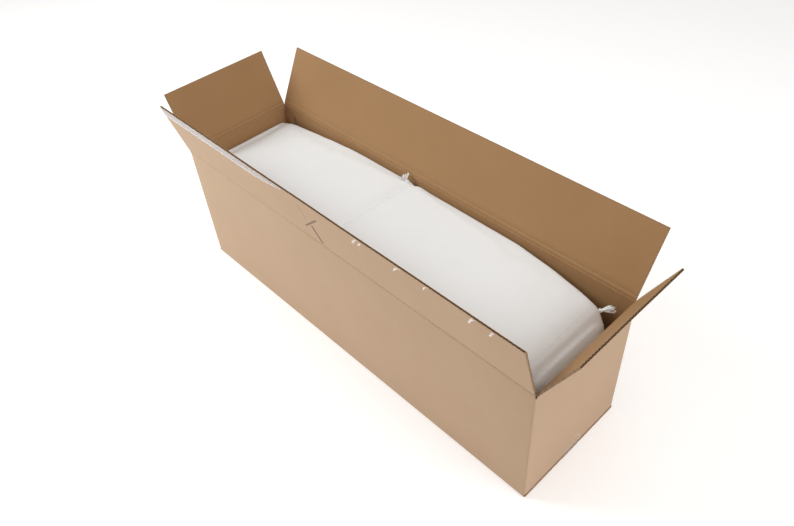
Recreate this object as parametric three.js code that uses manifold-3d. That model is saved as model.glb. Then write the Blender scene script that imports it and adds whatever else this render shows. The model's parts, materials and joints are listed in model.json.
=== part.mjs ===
// A memory foam mattress as it is sold: squeezed flat, rolled up, tied in a
// white fabric sack and packed in a corrugated carton whose lid stands open.
//
// Millimetres. +X runs along the carton, +Y from its front to its back and
// +Z up. The origin is on the underside, at the middle of the closing tape.

import * as THREE from 'three';
import { mergeVertices } from 'three/addons/utils/BufferGeometryUtils.js';
import Module from 'manifold-3d';

// ---- carton ---------------------------------------------------------------
const CARTON_LENGTH = 1020; // outside, along X
const CARTON_WIDTH = 282; // outside, along Y
const CARTON_HEIGHT = 317; // underside to the outer crease of the long lid flaps
const BOARD = 4; // corrugated board
const GAP = 0.3; // left between pieces that touch
const FLAP_MEETING_GAP = 0.8; // between two closed long flaps
const SIDE_PLAY = 0.5; // short flaps between the long panels
const SLOT_PLAY = 0.4; // long flap past the foot of an open short flap
const LONG_FLAP_START = 0.5; // crease axis to the long flap's own edge
const SHORT_FLAP_START = 4.2; // crease axis to the short flap's own edge
const TAB_WIDTH = 35; // glued tab that joins the blank into a tube
const TAB_SLANT = 14; // its ends are cut back by this much
const TAB_PLAY = 0.5; // between the tab and the sack

// How far each lid flap leans out from upright, in degrees.
const LEAN = { front: 15, back: 27.5, left: 24.5, right: 27 };

// ---- tape -----------------------------------------------------------------
const TAPE_THICKNESS = 0.3;
const TAPE_WIDTH = 48;
const TAPE_TURN_UP = 48; // up each end panel
const REMNANT_LENGTH = 440; // cut tape left on the front lid flap

// ---- sack and roll --------------------------------------------------------
const SACK_CLOTH = 1;
const SACK_SIDE_PLAY = 0.6; // to the long panels
const SACK_END_PLAY = 1.5; // to the left end panel
const SACK_FREE_END = 8; // to the right end panel
const SACK_HEADROOM = 0.5; // under the closed long flaps
const SACK_FOOTROOM = 1.3; // over the bottom flaps, where the ties pass
const SACK_CORNER = 12; // corner radius of its cross-section
const SACK_SLACK = 4; // between sack and roll, at the top and sides
const MOUTH = { width: 120, height: 40 }; // the tucked mouth, at the left end

// How far the sack's sides stand back at the left end, to pass the glued tab.
const TAB_INSET = BOARD + GAP + TAB_PLAY - SACK_SIDE_PLAY;

// The sack along its length: at is the share of its length from the left
// end, inset narrows each side, sag lowers the top, lift raises the underside.
// The rolled layers follow the rows marked core.
const SACK_SHAPE = [
  { at: 0, inset: TAB_INSET, sag: 40, lift: 1, core: true },
  { at: 0.038, inset: TAB_INSET, sag: 25, lift: 0 },
  { at: 0.174, inset: 0.5, sag: 12, lift: 0 },
  { at: 0.249, inset: 0, sag: 4, lift: 0, core: true },
  { at: 0.38, inset: 0, sag: 0, lift: 0 },
  { at: 0.466, inset: 4, sag: 9, lift: 0, core: true },
  { at: 0.53, inset: 0, sag: 0, lift: 0 },
  { at: 0.758, inset: 1, sag: 0.5, lift: 0, core: true },
  { at: 0.842, inset: 6, sag: 4, lift: 0 },
  { at: 0.907, inset: 13, sag: 10, lift: 0 },
  { at: 0.942, inset: 17, sag: 16.5, lift: 0, core: true },
  { at: 0.964, inset: 20, sag: 23.5, lift: 0 },
  { at: 0.983, inset: 31, sag: 42, lift: 6, core: true },
  { at: 0.994, inset: 50, sag: 66, lift: 18 },
  { at: 1, inset: 75, sag: 97, lift: 40 },
];

// ---- ties -----------------------------------------------------------------
const TIE_WIDTH = 8;
const TIE_THICKNESS = 0.6;
const TIE_PLAY = 0.35; // off the sack
const WAIST_TIE_AT = 0.466; // shares of the sack's length
const END_TIE_AT = 0.953;
const KNOT_RADIUS = 4.6;

// ---- layers of the squeezed mattress --------------------------------------
const TURNS = 3;
const CORE_HALF_WIDTH = 20; // half the width left free inside the roll
const FREE_END_POCKET = 20; // beside the foot end, for the zip
const FILM_MOUTH_PLAY = 1; // from the film's open end to the sack's rounded edge
const CORE_END_PLAY = 4; // under the head end
const WRAP_GAP = 0.6; // between one wrap and the next
const INNER_BEND = 3; // smallest bend radius
const FILM = 0.4;
const BASE_CLOTH = 1.2;
const TOP_CLOTH = 2.2;
const SLEEVE = 0.6;
const MEMORY_FOAM = 9;
const BORDER = 1.5;
const FILM_OVERHANG = 1; // past the borders at each side

// ---- zip and label --------------------------------------------------------
const ZIP_TAPE = { thickness: 0.6, height: 26 };
const ZIP_COIL = { thickness: 2.2, height: 4 };
const ZIP_INSET = 60; // from the corners of the cover
const SLIDER = { length: 11, height: 10, plate: 1.6 };
const SLIDER_AT = 0.3; // share of the sack's length
const PULL = { length: 24, height: 8, thickness: 1.3 };
const LABEL = { length: 40, height: 26, thickness: 0.4, at: 0.1 };

// ---- smoothness -----------------------------------------------------------
const BEND_STEPS = 3; // facets in a quarter turn

// ---- colours --------------------------------------------------------------
const LOOKS = {
  board: { color: 0xc39f79, roughness: 0.85 },
  innerBoard: { color: 0xa87c55, roughness: 0.9 },
  tape: { color: 0xd9c9ae, roughness: 0.2 },
  sack: { color: 0xe4e4e0, roughness: 0.9 },
  film: { color: 0xe8ecee, roughness: 0.15 },
  cover: { color: 0xf1f0ec, roughness: 0.95 },
  sleeve: { color: 0xf6f6f2, roughness: 0.95 },
  memory: { color: 0xf3e7b8, roughness: 1 },
  support: { color: 0xe9e9e4, roughness: 1 },
  zip: { color: 0xdcdcd8, roughness: 0.6 },
  slider: { color: 0xb9bcc0, roughness: 0.35, metalness: 0.9 },
  label: { color: 0xfafafa, roughness: 0.8 },
  tie: { color: 0xf2f2f4, roughness: 0.35 },
};

// ---- sizes worked out from the ones above ---------------------------------
const halfLength = CARTON_LENGTH / 2;
const halfWidth = CARTON_WIDTH / 2;
const innerHalfLength = halfLength - BOARD;
const innerHalfWidth = halfWidth - BOARD;

const longBottomUnder = TAPE_THICKNESS + GAP;
const shortBottomUnder = longBottomUnder + BOARD + GAP;
const cartonFloor = shortBottomUnder + BOARD;

const longCrease = CARTON_HEIGHT;
const longPanelTop = longCrease - BOARD - GAP;
const shortCrease = longPanelTop;
const shortPanelTop = shortCrease - BOARD - GAP;
const creaseOffset = GAP; // outside the panel's outer face
const flapDepth = halfWidth + creaseOffset - LONG_FLAP_START - FLAP_MEETING_GAP / 2;

const sackLeft = -innerHalfLength + SACK_END_PLAY;
const sackRight = innerHalfLength - SACK_FREE_END;
const sackLength = sackRight - sackLeft;
const sackHalfWidth = innerHalfWidth - SACK_SIDE_PLAY;
const sackTop = longCrease - BOARD - SACK_HEADROOM;
const sackUnder = cartonFloor + SACK_FOOTROOM;

const rollHalfWidth = sackHalfWidth - SACK_CLOTH - SACK_SLACK;
const rollTop = sackTop - SACK_CLOTH - SACK_SLACK;
const rollUnder = sackUnder + SACK_CLOTH + GAP;
const rollHalfSize = Math.min(rollHalfWidth, (rollTop - rollUnder) / 2);
const pitch = (rollHalfSize - CORE_HALF_WIDTH) / TURNS;
const stripThickness = pitch - WRAP_GAP;
const bendRadius = pitch + INNER_BEND;

const filmMouth = FREE_END_POCKET + SACK_CLOTH + SACK_SLACK - SACK_CORNER - FILM_MOUTH_PLAY;
const coverLeft = sackLeft + SACK_CLOTH + GAP + FILM_OVERHANG;
const coverRight = alongSack(SACK_SHAPE.findLast((row) => row.core).at) - GAP - FILM_OVERHANG;

// Depths of the layers, from the strip's outer face inwards.
const baseDepth = FILM + GAP;
const sleeveDepth = baseDepth + BASE_CLOTH + GAP;
const supportDepth = sleeveDepth + SLEEVE + GAP;
const topDepthEnd = stripThickness - FILM - GAP;
const topDepth = topDepthEnd - TOP_CLOTH;
const sleeveDepthEnd = topDepth - GAP;
const memoryDepthEnd = sleeveDepthEnd - SLEEVE - GAP;
const memoryDepth = memoryDepthEnd - MEMORY_FOAM;
const supportDepthEnd = memoryDepth - GAP;

const wasm = await Module();
wasm.setup();

const model = new THREE.Group();

/** Adds a named mesh with its own material to a group. */
function addPiece(group, name, geometry, look) {
  const material = new THREE.MeshStandardMaterial({
    color: look.color,
    roughness: look.roughness,
    metalness: look.metalness ?? 0,
  });
  const mesh = new THREE.Mesh(geometry, material);
  mesh.name = name;
  group.add(mesh);
  return mesh;
}

/** A box between two corners. */
function boxBetween(low, high) {
  const size = high.map((value, axis) => value - low[axis]);
  const box = new THREE.BoxGeometry(...size);
  return box.translate(...low.map((value, axis) => value + size[axis] / 2));
}

/** A geometry as a manifold-3d solid. */
function solidOf(geometry) {
  const bare = geometry.clone();
  bare.deleteAttribute('normal');
  bare.deleteAttribute('uv');
  const merged = mergeVertices(bare);
  return new wasm.Manifold(new wasm.Mesh({
    numProp: 3,
    vertProperties: Float32Array.from(merged.attributes.position.array),
    triVerts: Uint32Array.from(merged.index.array),
  }));
}

/** A manifold-3d solid as a geometry. */
function geometryOf(solid) {
  const mesh = solid.getMesh();
  const geometry = new THREE.BufferGeometry();
  geometry.setAttribute('position', new THREE.BufferAttribute(mesh.vertProperties, 3));
  geometry.setIndex(new THREE.BufferAttribute(mesh.triVerts, 1));
  geometry.computeVertexNormals();
  return geometry;
}

// ---- carton ---------------------------------------------------------------

/** The four upright panels and the glued tab inside the back left corner. */
function buildPanels(group) {
  for (const [name, side] of [['front_panel', -1], ['back_panel', 1]]) {
    const faces = [side * innerHalfWidth, side * halfWidth].sort((a, b) => a - b);
    addPiece(group, name, boxBetween(
      [-halfLength, faces[0], shortBottomUnder],
      [halfLength, faces[1], longPanelTop],
    ), LOOKS.board);
  }
  const endHalfWidth = innerHalfWidth - GAP;
  for (const [name, side] of [['left_end_panel', -1], ['right_end_panel', 1]]) {
    const faces = [side * innerHalfLength, side * halfLength].sort((a, b) => a - b);
    addPiece(group, name, boxBetween(
      [faces[0], -endHalfWidth, cartonFloor + GAP],
      [faces[1], endHalfWidth, shortPanelTop],
    ), LOOKS.board);
  }
  const low = cartonFloor + GAP;
  const tab = new THREE.Shape([
    new THREE.Vector2(0, low),
    new THREE.Vector2(TAB_WIDTH, low + TAB_SLANT),
    new THREE.Vector2(TAB_WIDTH, shortPanelTop - TAB_SLANT),
    new THREE.Vector2(0, shortPanelTop),
  ]);
  const tabBody = new THREE.ExtrudeGeometry(tab, { depth: BOARD, bevelEnabled: false });
  tabBody.rotateX(Math.PI / 2);
  tabBody.translate(-innerHalfLength + GAP, innerHalfWidth - GAP, 0);
  addPiece(group, 'glue_tab', tabBody, LOOKS.innerBoard);
}

/** The closed bottom: two short flaps, then two long ones, then the tape. */
function buildBottom(group) {
  const shortHalfWidth = innerHalfWidth - GAP;
  for (const [name, side] of [['bottom_left_flap', -1], ['bottom_right_flap', 1]]) {
    const ends = [side * halfLength, side * (halfLength - flapDepth)].sort((a, b) => a - b);
    addPiece(group, name, boxBetween(
      [ends[0], -shortHalfWidth, shortBottomUnder],
      [ends[1], shortHalfWidth, shortBottomUnder + BOARD],
    ), LOOKS.innerBoard);
  }
  for (const [name, side] of [['bottom_front_flap', -1], ['bottom_back_flap', 1]]) {
    const edges = [side * halfWidth, side * FLAP_MEETING_GAP / 2].sort((a, b) => a - b);
    addPiece(group, name, boxBetween(
      [-halfLength, edges[0], longBottomUnder],
      [halfLength, edges[1], longBottomUnder + BOARD],
    ), LOOKS.board);
  }
  const tapeHalfLength = halfLength + GAP + TAPE_THICKNESS;
  addPiece(group, 'bottom_tape', boxBetween(
    [-tapeHalfLength, -TAPE_WIDTH / 2, 0],
    [tapeHalfLength, TAPE_WIDTH / 2, TAPE_THICKNESS],
  ), LOOKS.tape);
  for (const [name, side] of [['bottom_tape_left_end', -1], ['bottom_tape_right_end', 1]]) {
    const faces = [side * (halfLength + GAP), side * tapeHalfLength].sort((a, b) => a - b);
    addPiece(group, name, boxBetween(
      [faces[0], -TAPE_WIDTH / 2, longBottomUnder],
      [faces[1], TAPE_WIDTH / 2, TAPE_TURN_UP],
    ), LOOKS.tape);
  }
}

/**
 * A group whose X axis is a lid flap's crease and whose +Z is the flap's own
 * direction, turned to the side it stands on and leaned outwards.
 */
function creaseGroup(side, reach, creaseHeight) {
  const turns = { front: 0, right: 1, back: 2, left: 3 };
  const turned = new THREE.Group();
  turned.rotation.z = turns[side] * Math.PI / 2;
  const leaned = new THREE.Group();
  leaned.position.set(0, -(reach + creaseOffset), creaseHeight);
  leaned.rotation.x = THREE.MathUtils.degToRad(LEAN[side]);
  turned.add(leaned);
  model.add(turned);
  return leaned;
}

/** The four lid flaps and the cut tape left on the front one. */
function buildLid() {
  const leastLean = THREE.MathUtils.degToRad(Math.min(LEAN.left, LEAN.right));
  const footInset = BOARD * Math.cos(leastLean) - SHORT_FLAP_START * Math.sin(leastLean);
  const longHalfLength = halfLength + creaseOffset - footInset - SLOT_PLAY;
  const groups = {};
  for (const side of ['front', 'back']) {
    groups[side] = creaseGroup(side, halfWidth, longCrease);
    addPiece(groups[side], `top_${side}_flap`, boxBetween(
      [-longHalfLength, 0, LONG_FLAP_START],
      [longHalfLength, BOARD, LONG_FLAP_START + flapDepth],
    ), LOOKS.board);
  }
  const shortHalfWidth = innerHalfWidth - SIDE_PLAY;
  for (const side of ['left', 'right']) {
    groups[side] = creaseGroup(side, halfLength, shortCrease);
    addPiece(groups[side], `top_${side}_flap`, boxBetween(
      [-shortHalfWidth, 0, SHORT_FLAP_START],
      [shortHalfWidth, BOARD, LONG_FLAP_START + flapDepth],
    ), LOOKS.board);
  }
  const flapEdge = LONG_FLAP_START + flapDepth;
  addPiece(groups.front, 'top_tape_remnant', boxBetween(
    [-longHalfLength, -GAP - TAPE_THICKNESS, flapEdge - TAPE_WIDTH / 2],
    [-longHalfLength + REMNANT_LENGTH, -GAP, flapEdge],
  ), LOOKS.tape);
}

// ---- sack, ties and knots -------------------------------------------------

/** The place along X of a share of the sack's length. */
function alongSack(share) {
  return sackLeft + share * sackLength;
}

/** The sack's inset, sag and lift at x, read from the given rows. */
function shapeAt(x, rows) {
  const share = (x - sackLeft) / sackLength;
  let index = rows.findIndex((row) => row.at >= share);
  if (index < 0) index = rows.length - 1;
  index = Math.max(index, 1);
  const [before, after] = [rows[index - 1], rows[index]];
  const t = (share - before.at) / (after.at - before.at);
  const mix = (key) => before[key] + (after[key] - before[key]) * t;
  return { inset: mix('inset'), sag: mix('sag'), lift: mix('lift') };
}

/**
 * Turns the diagonals of an extrusion's side walls to run the same way round
 * the roll, so that neighbouring layers stay apart where they are squeezed.
 */
function alignDiagonals(geometry) {
  const middle = (sackUnder + sackTop) / 2;
  const position = geometry.attributes.position;
  const corner = (index) => new THREE.Vector3().fromBufferAttribute(position, index);
  const [, walls] = geometry.groups;
  for (let i = walls.start; i < walls.start + walls.count; i += 6) {
    const [a, b, c, d] = [corner(i), corner(i + 1), corner(i + 4), corner(i + 2)];
    const turn = b.x * (a.y - middle) - a.x * (b.y - middle);
    if (turn < 0) {
      [a, b, c, a, c, d].forEach((point, k) => position.setXYZ(i + k, point.x, point.y, point.z));
    }
  }
}

/**
 * An outline in the YZ plane drawn out along X from one end to the other and
 * squeezed, at each row of the sack's shape, to the width and height there.
 */
function squeezedSolid(shape, from, to, rows) {
  const inside = rows.map((row) => alongSack(row.at)).filter((x) => x > from && x < to);
  const stations = [from, ...inside, to];
  const steps = stations.length - 1;
  const geometry = new THREE.ExtrudeGeometry(shape, { depth: 1, steps, bevelEnabled: false });
  alignDiagonals(geometry);
  const position = geometry.attributes.position;
  for (let i = 0; i < position.count; i += 1) {
    const x = stations[Math.round(position.getZ(i) * steps)];
    const { inset, sag, lift } = shapeAt(x, rows);
    const widthScale = (sackHalfWidth - inset) / sackHalfWidth;
    const heightScale = (sackTop - sackUnder - sag - lift) / (sackTop - sackUnder);
    const y = position.getX(i) * widthScale;
    const z = sackUnder + lift + (position.getY(i) - sackUnder) * heightScale;
    position.setXYZ(i, x, y, z);
  }
  return geometry;
}

/** The sack's cross-section, grown outwards by a distance. */
function sackOutline(grow) {
  const radius = SACK_CORNER + grow;
  const y = sackHalfWidth + grow - radius;
  const low = sackUnder - grow + radius;
  const high = sackTop + grow - radius;
  const corners = [[y, low], [y, high], [-y, high], [-y, low]];
  const points = [];
  corners.forEach(([cy, cz], index) => {
    for (let step = 0; step <= BEND_STEPS; step += 1) {
      const angle = (index - 1 + step / BEND_STEPS) * Math.PI / 2;
      points.push(new THREE.Vector2(
        cy + radius * Math.cos(angle),
        cz + radius * Math.sin(angle),
      ));
    }
  });
  return points;
}

/** The fabric sack: a thin shell with its tucked mouth at the left end. */
function buildSack(group) {
  const outside = squeezedSolid(new THREE.Shape(sackOutline(0)), sackLeft, sackRight, SACK_SHAPE);
  const inside = squeezedSolid(
    new THREE.Shape(sackOutline(-SACK_CLOTH)),
    sackLeft + SACK_CLOTH,
    sackRight - SACK_CLOTH,
    SACK_SHAPE,
  );
  const middle = (sackUnder + sackTop) / 2;
  const mouth = boxBetween(
    [sackLeft - GAP, -MOUTH.width / 2, middle - MOUTH.height / 2],
    [sackLeft + SACK_CLOTH + GAP, MOUTH.width / 2, middle + MOUTH.height / 2],
  );
  const shell = solidOf(outside).subtract(solidOf(inside)).subtract(solidOf(mouth));
  addPiece(group, 'sack', geometryOf(shell), LOOKS.sack);
}

/** A flat film tie looped tightly round the sack. */
function buildTie(group, name, share) {
  const ring = new THREE.Shape(sackOutline(TIE_PLAY + TIE_THICKNESS));
  ring.holes.push(new THREE.Path(sackOutline(TIE_PLAY)));
  const x = alongSack(share);
  const loop = squeezedSolid(ring, x - TIE_WIDTH / 2, x + TIE_WIDTH / 2, SACK_SHAPE);
  addPiece(group, name, loop, LOOKS.tie);
}

/** A knot: a round lump and tapered tails, each given by its direction and length. */
function buildKnot(group, name, centre, tails) {
  let knot = solidOf(new THREE.SphereGeometry(KNOT_RADIUS, 10, 7));
  for (const { towards, length } of tails) {
    const tail = new THREE.ConeGeometry(KNOT_RADIUS * 0.55, length, 6);
    tail.translate(0, length / 2, 0);
    const direction = new THREE.Vector3(...towards).normalize();
    tail.applyQuaternion(new THREE.Quaternion().setFromUnitVectors(
      new THREE.Vector3(0, 1, 0),
      direction,
    ));
    knot = knot.add(solidOf(tail));
  }
  const mesh = addPiece(group, name, geometryOf(knot), LOOKS.tie);
  mesh.position.set(...centre);
}

/** A point on the sack's upper back edge at a share of its length, moved outwards. */
function overBackEdge(share, out) {
  const x = alongSack(share);
  const { inset, sag } = shapeAt(x, SACK_SHAPE);
  return [x, sackHalfWidth - inset - SACK_CORNER + out.y, sackTop - sag - SACK_CORNER + out.z];
}

/** Both ties and their knots, which lie at the upper back edge. */
function buildTies(group) {
  buildTie(group, 'waist_tie', WAIST_TIE_AT);
  buildTie(group, 'end_tie', END_TIE_AT);
  const outwards = SACK_CORNER + TIE_PLAY + TIE_THICKNESS + KNOT_RADIUS;
  const waist = overBackEdge(WAIST_TIE_AT - 0.012, {
    y: outwards * Math.cos(Math.PI / 3),
    z: outwards * Math.sin(Math.PI / 3),
  });
  buildKnot(group, 'waist_knot', waist, [
    { towards: [-1, 0.15, 0.05], length: 16 },
    { towards: [0.9, -0.5, 0.12], length: 14 },
  ]);
  const end = overBackEdge(END_TIE_AT + 0.008, {
    y: outwards * Math.cos(Math.PI / 4) + 1,
    z: outwards * Math.sin(Math.PI / 4) + 1,
  });
  buildKnot(group, 'end_knot', end, [
    { towards: [0.72, 0.36, 0.22], length: 30 },
    { towards: [0.8, 0.1, 0.3], length: 20 },
  ]);
}

// ---- rolled layers --------------------------------------------------------

/** The centres of the roll's quarter bends, from the foot end inwards. */
function bendCentres() {
  const centres = [];
  for (let turn = 0; turn < TURNS; turn += 1) {
    const y = rollHalfWidth - turn * pitch - bendRadius;
    const low = rollUnder + turn * pitch + bendRadius;
    const high = rollTop - turn * pitch - bendRadius;
    centres.push([y, low], [y, high], [-y, high], [-y, low + pitch]);
  }
  centres.pop();
  return centres;
}

/**
 * One face of a rolled layer at a depth below the strip's outer face, from
 * the foot end under the roll to the head end in its core.
 */
function rolledEdge(depth, footReach, headReach) {
  const footY = -rollHalfWidth + FREE_END_POCKET - footReach;
  const points = [new THREE.Vector2(footY, rollUnder + depth)];
  bendCentres().forEach(([cy, cz], index) => {
    for (let step = 0; step <= BEND_STEPS; step += 1) {
      const angle = (index - 1 + step / BEND_STEPS) * Math.PI / 2;
      points.push(new THREE.Vector2(
        cy + (bendRadius - depth) * Math.cos(angle),
        cz + (bendRadius - depth) * Math.sin(angle),
      ));
    }
  });
  const last = points.at(-1);
  const headZ = rollUnder + TURNS * pitch + CORE_END_PLAY - headReach;
  points.push(new THREE.Vector2(last.x, headZ));
  return points;
}

/** A sheet rolled up between two depths. */
function rolledSheet(from, to) {
  return new THREE.Shape([
    ...rolledEdge(from, 0, 0),
    ...rolledEdge(to, 0, 0).reverse(),
  ]);
}

/** A folded sheet round the layers between two depths, open at the foot end. */
function rolledPocket(from, to, thickness, footReach, headReach) {
  return new THREE.Shape([
    ...rolledEdge(from, footReach, headReach),
    ...rolledEdge(to, footReach, headReach).reverse(),
    ...rolledEdge(to - thickness, footReach, headReach - thickness),
    ...rolledEdge(from + thickness, footReach, headReach - thickness).reverse(),
  ]);
}

/** A rectangle in the YZ plane as a shape. */
function rectangle(lowY, lowZ, highY, highZ) {
  return new THREE.Shape([
    new THREE.Vector2(lowY, lowZ),
    new THREE.Vector2(highY, lowZ),
    new THREE.Vector2(highY, highZ),
    new THREE.Vector2(lowY, highZ),
  ]);
}

const coreRows = SACK_SHAPE.filter((row) => row.core);

/** Adds one layer of the roll between two places along X. */
function addLayer(group, name, shape, look, from, to) {
  addPiece(group, name, squeezedSolid(shape, from, to, coreRows), look);
}

/** Foam, sleeve, cover and film, rolled up together. */
function buildRoll(group) {
  const foamLeft = coverLeft + BORDER + GAP;
  const foamRight = coverRight - BORDER - GAP;
  const sheets = [
    ['cover_base_panel', baseDepth, baseDepth + BASE_CLOTH, LOOKS.cover],
    ['support_foam', supportDepth, supportDepthEnd, LOOKS.support],
    ['memory_foam', memoryDepth, memoryDepthEnd, LOOKS.memory],
    ['cover_top_panel', topDepth, topDepthEnd, LOOKS.cover],
  ];
  for (const [name, from, to, look] of sheets) {
    addLayer(group, name, rolledSheet(from, to), look, foamLeft, foamRight);
  }
  const sleeve = rolledPocket(sleeveDepth, sleeveDepthEnd, SLEEVE, 0, GAP + SLEEVE);
  addLayer(group, 'core_sleeve', sleeve, LOOKS.sleeve, foamLeft, foamRight);

  const side = rolledSheet(baseDepth, topDepthEnd);
  addLayer(group, 'cover_left_border', side, LOOKS.cover, coverLeft, coverLeft + BORDER);
  addLayer(group, 'cover_right_border', side, LOOKS.cover, coverRight - BORDER, coverRight);

  const footEdge = -rollHalfWidth + FREE_END_POCKET - GAP;
  const foot = rectangle(
    footEdge - BORDER,
    rollUnder + baseDepth,
    footEdge,
    rollUnder + topDepthEnd,
  );
  addLayer(group, 'cover_foot_border', foot, LOOKS.cover, coverLeft, coverRight);

  const headEdge = rollUnder + TURNS * pitch + CORE_END_PLAY - 2 * GAP - SLEEVE;
  const headOuter = -rollHalfWidth + (TURNS - 1) * pitch;
  const head = rectangle(
    headOuter + baseDepth,
    headEdge - BORDER,
    headOuter + topDepthEnd,
    headEdge,
  );
  addLayer(group, 'cover_head_border', head, LOOKS.cover, coverLeft, coverRight);

  const filmReach = 3 * GAP + SLEEVE + BORDER + FILM;
  const film = rolledPocket(0, stripThickness, FILM, filmMouth, filmReach);
  addLayer(
    group,
    'vacuum_film',
    film,
    LOOKS.film,
    coverLeft - FILM_OVERHANG,
    coverRight + FILM_OVERHANG,
  );
}

/** The zip along the foot border, its slider and pull, and the blank care label. */
function buildZip(group) {
  const middle = rollUnder + stripThickness / 2;
  const tapeBack = -rollHalfWidth + FREE_END_POCKET - 2 * GAP - BORDER;
  const tapeFace = tapeBack - ZIP_TAPE.thickness;
  const coilFace = tapeFace - ZIP_COIL.thickness;
  const halfTape = ZIP_TAPE.height / 2;
  const halfCoil = ZIP_COIL.height / 2;
  const zip = new THREE.Shape([
    [tapeBack, -halfTape], [tapeBack, halfTape], [tapeFace, halfTape], [tapeFace, halfCoil],
    [coilFace, halfCoil], [coilFace, -halfCoil], [tapeFace, -halfCoil], [tapeFace, -halfTape],
  ].map(([y, z]) => new THREE.Vector2(y, middle + z)));
  addLayer(group, 'cover_zip', zip, LOOKS.zip, coverLeft + ZIP_INSET, coverRight - ZIP_INSET);

  const cheekFace = tapeFace - GAP;
  const plateBack = coilFace - GAP;
  const plateFace = plateBack - SLIDER.plate;
  const halfSlider = SLIDER.height / 2;
  const cheek = halfCoil + GAP;
  const slider = new THREE.Shape([
    [cheekFace, -halfSlider], [cheekFace, -cheek], [plateBack, -cheek], [plateBack, cheek],
    [cheekFace, cheek], [cheekFace, halfSlider], [plateFace, halfSlider], [plateFace, -halfSlider],
  ].map(([y, z]) => new THREE.Vector2(y, middle + z)));
  const sliderFrom = alongSack(SLIDER_AT);
  addLayer(group, 'zip_slider', slider, LOOKS.slider, sliderFrom, sliderFrom + SLIDER.length);

  const pullBack = plateFace - GAP;
  const pull = rectangle(
    pullBack - PULL.thickness,
    middle - PULL.height / 2,
    pullBack,
    middle + PULL.height / 2,
  );
  addLayer(group, 'zip_pull', pull, LOOKS.slider, sliderFrom, sliderFrom + PULL.length);

  const labelFrom = alongSack(LABEL.at);
  const label = rectangle(
    plateFace - LABEL.thickness,
    middle - LABEL.height / 2,
    plateFace,
    middle + LABEL.height / 2,
  );
  addLayer(group, 'care_label', label, LOOKS.label, labelFrom, labelFrom + LABEL.length);
}

const carton = new THREE.Group();
model.add(carton);
buildPanels(carton);
buildBottom(carton);
buildLid();

const mattress = new THREE.Group();
model.add(mattress);
buildRoll(mattress);
buildZip(mattress);
buildSack(mattress);
buildTies(mattress);

export default model;
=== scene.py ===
"""A roll-packed mattress in its opened corrugated carton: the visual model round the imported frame.

Metres, in the frame's own axes: +X along the carton, +Y from its front to its back, +Z up.
"""

import json
import logging
import math
import random
from dataclasses import dataclass, field
from enum import Enum
from typing import Any, Callable, Mapping, Optional, Sequence

import bmesh
import bpy
import numpy as np
from mathutils import Matrix, Vector, noise
from mathutils.bvhtree import BVHTree
from mathutils.kdtree import KDTree


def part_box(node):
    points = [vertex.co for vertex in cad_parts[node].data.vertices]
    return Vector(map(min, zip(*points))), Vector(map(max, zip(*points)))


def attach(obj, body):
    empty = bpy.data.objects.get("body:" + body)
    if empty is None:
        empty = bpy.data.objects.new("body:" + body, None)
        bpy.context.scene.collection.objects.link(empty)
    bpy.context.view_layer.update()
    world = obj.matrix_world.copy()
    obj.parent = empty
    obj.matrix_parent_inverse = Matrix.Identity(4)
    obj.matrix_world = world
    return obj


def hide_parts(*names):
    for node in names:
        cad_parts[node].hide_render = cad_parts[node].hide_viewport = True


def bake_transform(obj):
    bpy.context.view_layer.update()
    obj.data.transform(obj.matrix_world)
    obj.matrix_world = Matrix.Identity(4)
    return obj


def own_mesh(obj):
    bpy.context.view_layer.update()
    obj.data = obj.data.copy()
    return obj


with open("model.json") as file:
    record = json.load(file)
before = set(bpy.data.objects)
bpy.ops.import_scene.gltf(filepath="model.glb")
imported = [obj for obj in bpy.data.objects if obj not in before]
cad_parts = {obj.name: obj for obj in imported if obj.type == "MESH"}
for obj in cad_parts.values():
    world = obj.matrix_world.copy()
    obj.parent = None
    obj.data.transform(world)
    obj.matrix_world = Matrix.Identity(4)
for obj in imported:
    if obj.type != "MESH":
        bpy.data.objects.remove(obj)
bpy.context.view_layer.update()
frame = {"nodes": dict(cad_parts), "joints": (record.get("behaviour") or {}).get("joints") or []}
LOG = logging.getLogger("mattress")

MM = 0.001
LINER = 0.55 * MM  # paper of each face of the board
FLUTE_PAPER = 0.5 * MM
FLUTE_PITCH = 7.9 * MM
SHARP = math.radians(52)

Colour = tuple[float, float, float, float]
Point2 = tuple[float, float]


# ---- node trees -------------------------------------------------------------


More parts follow.
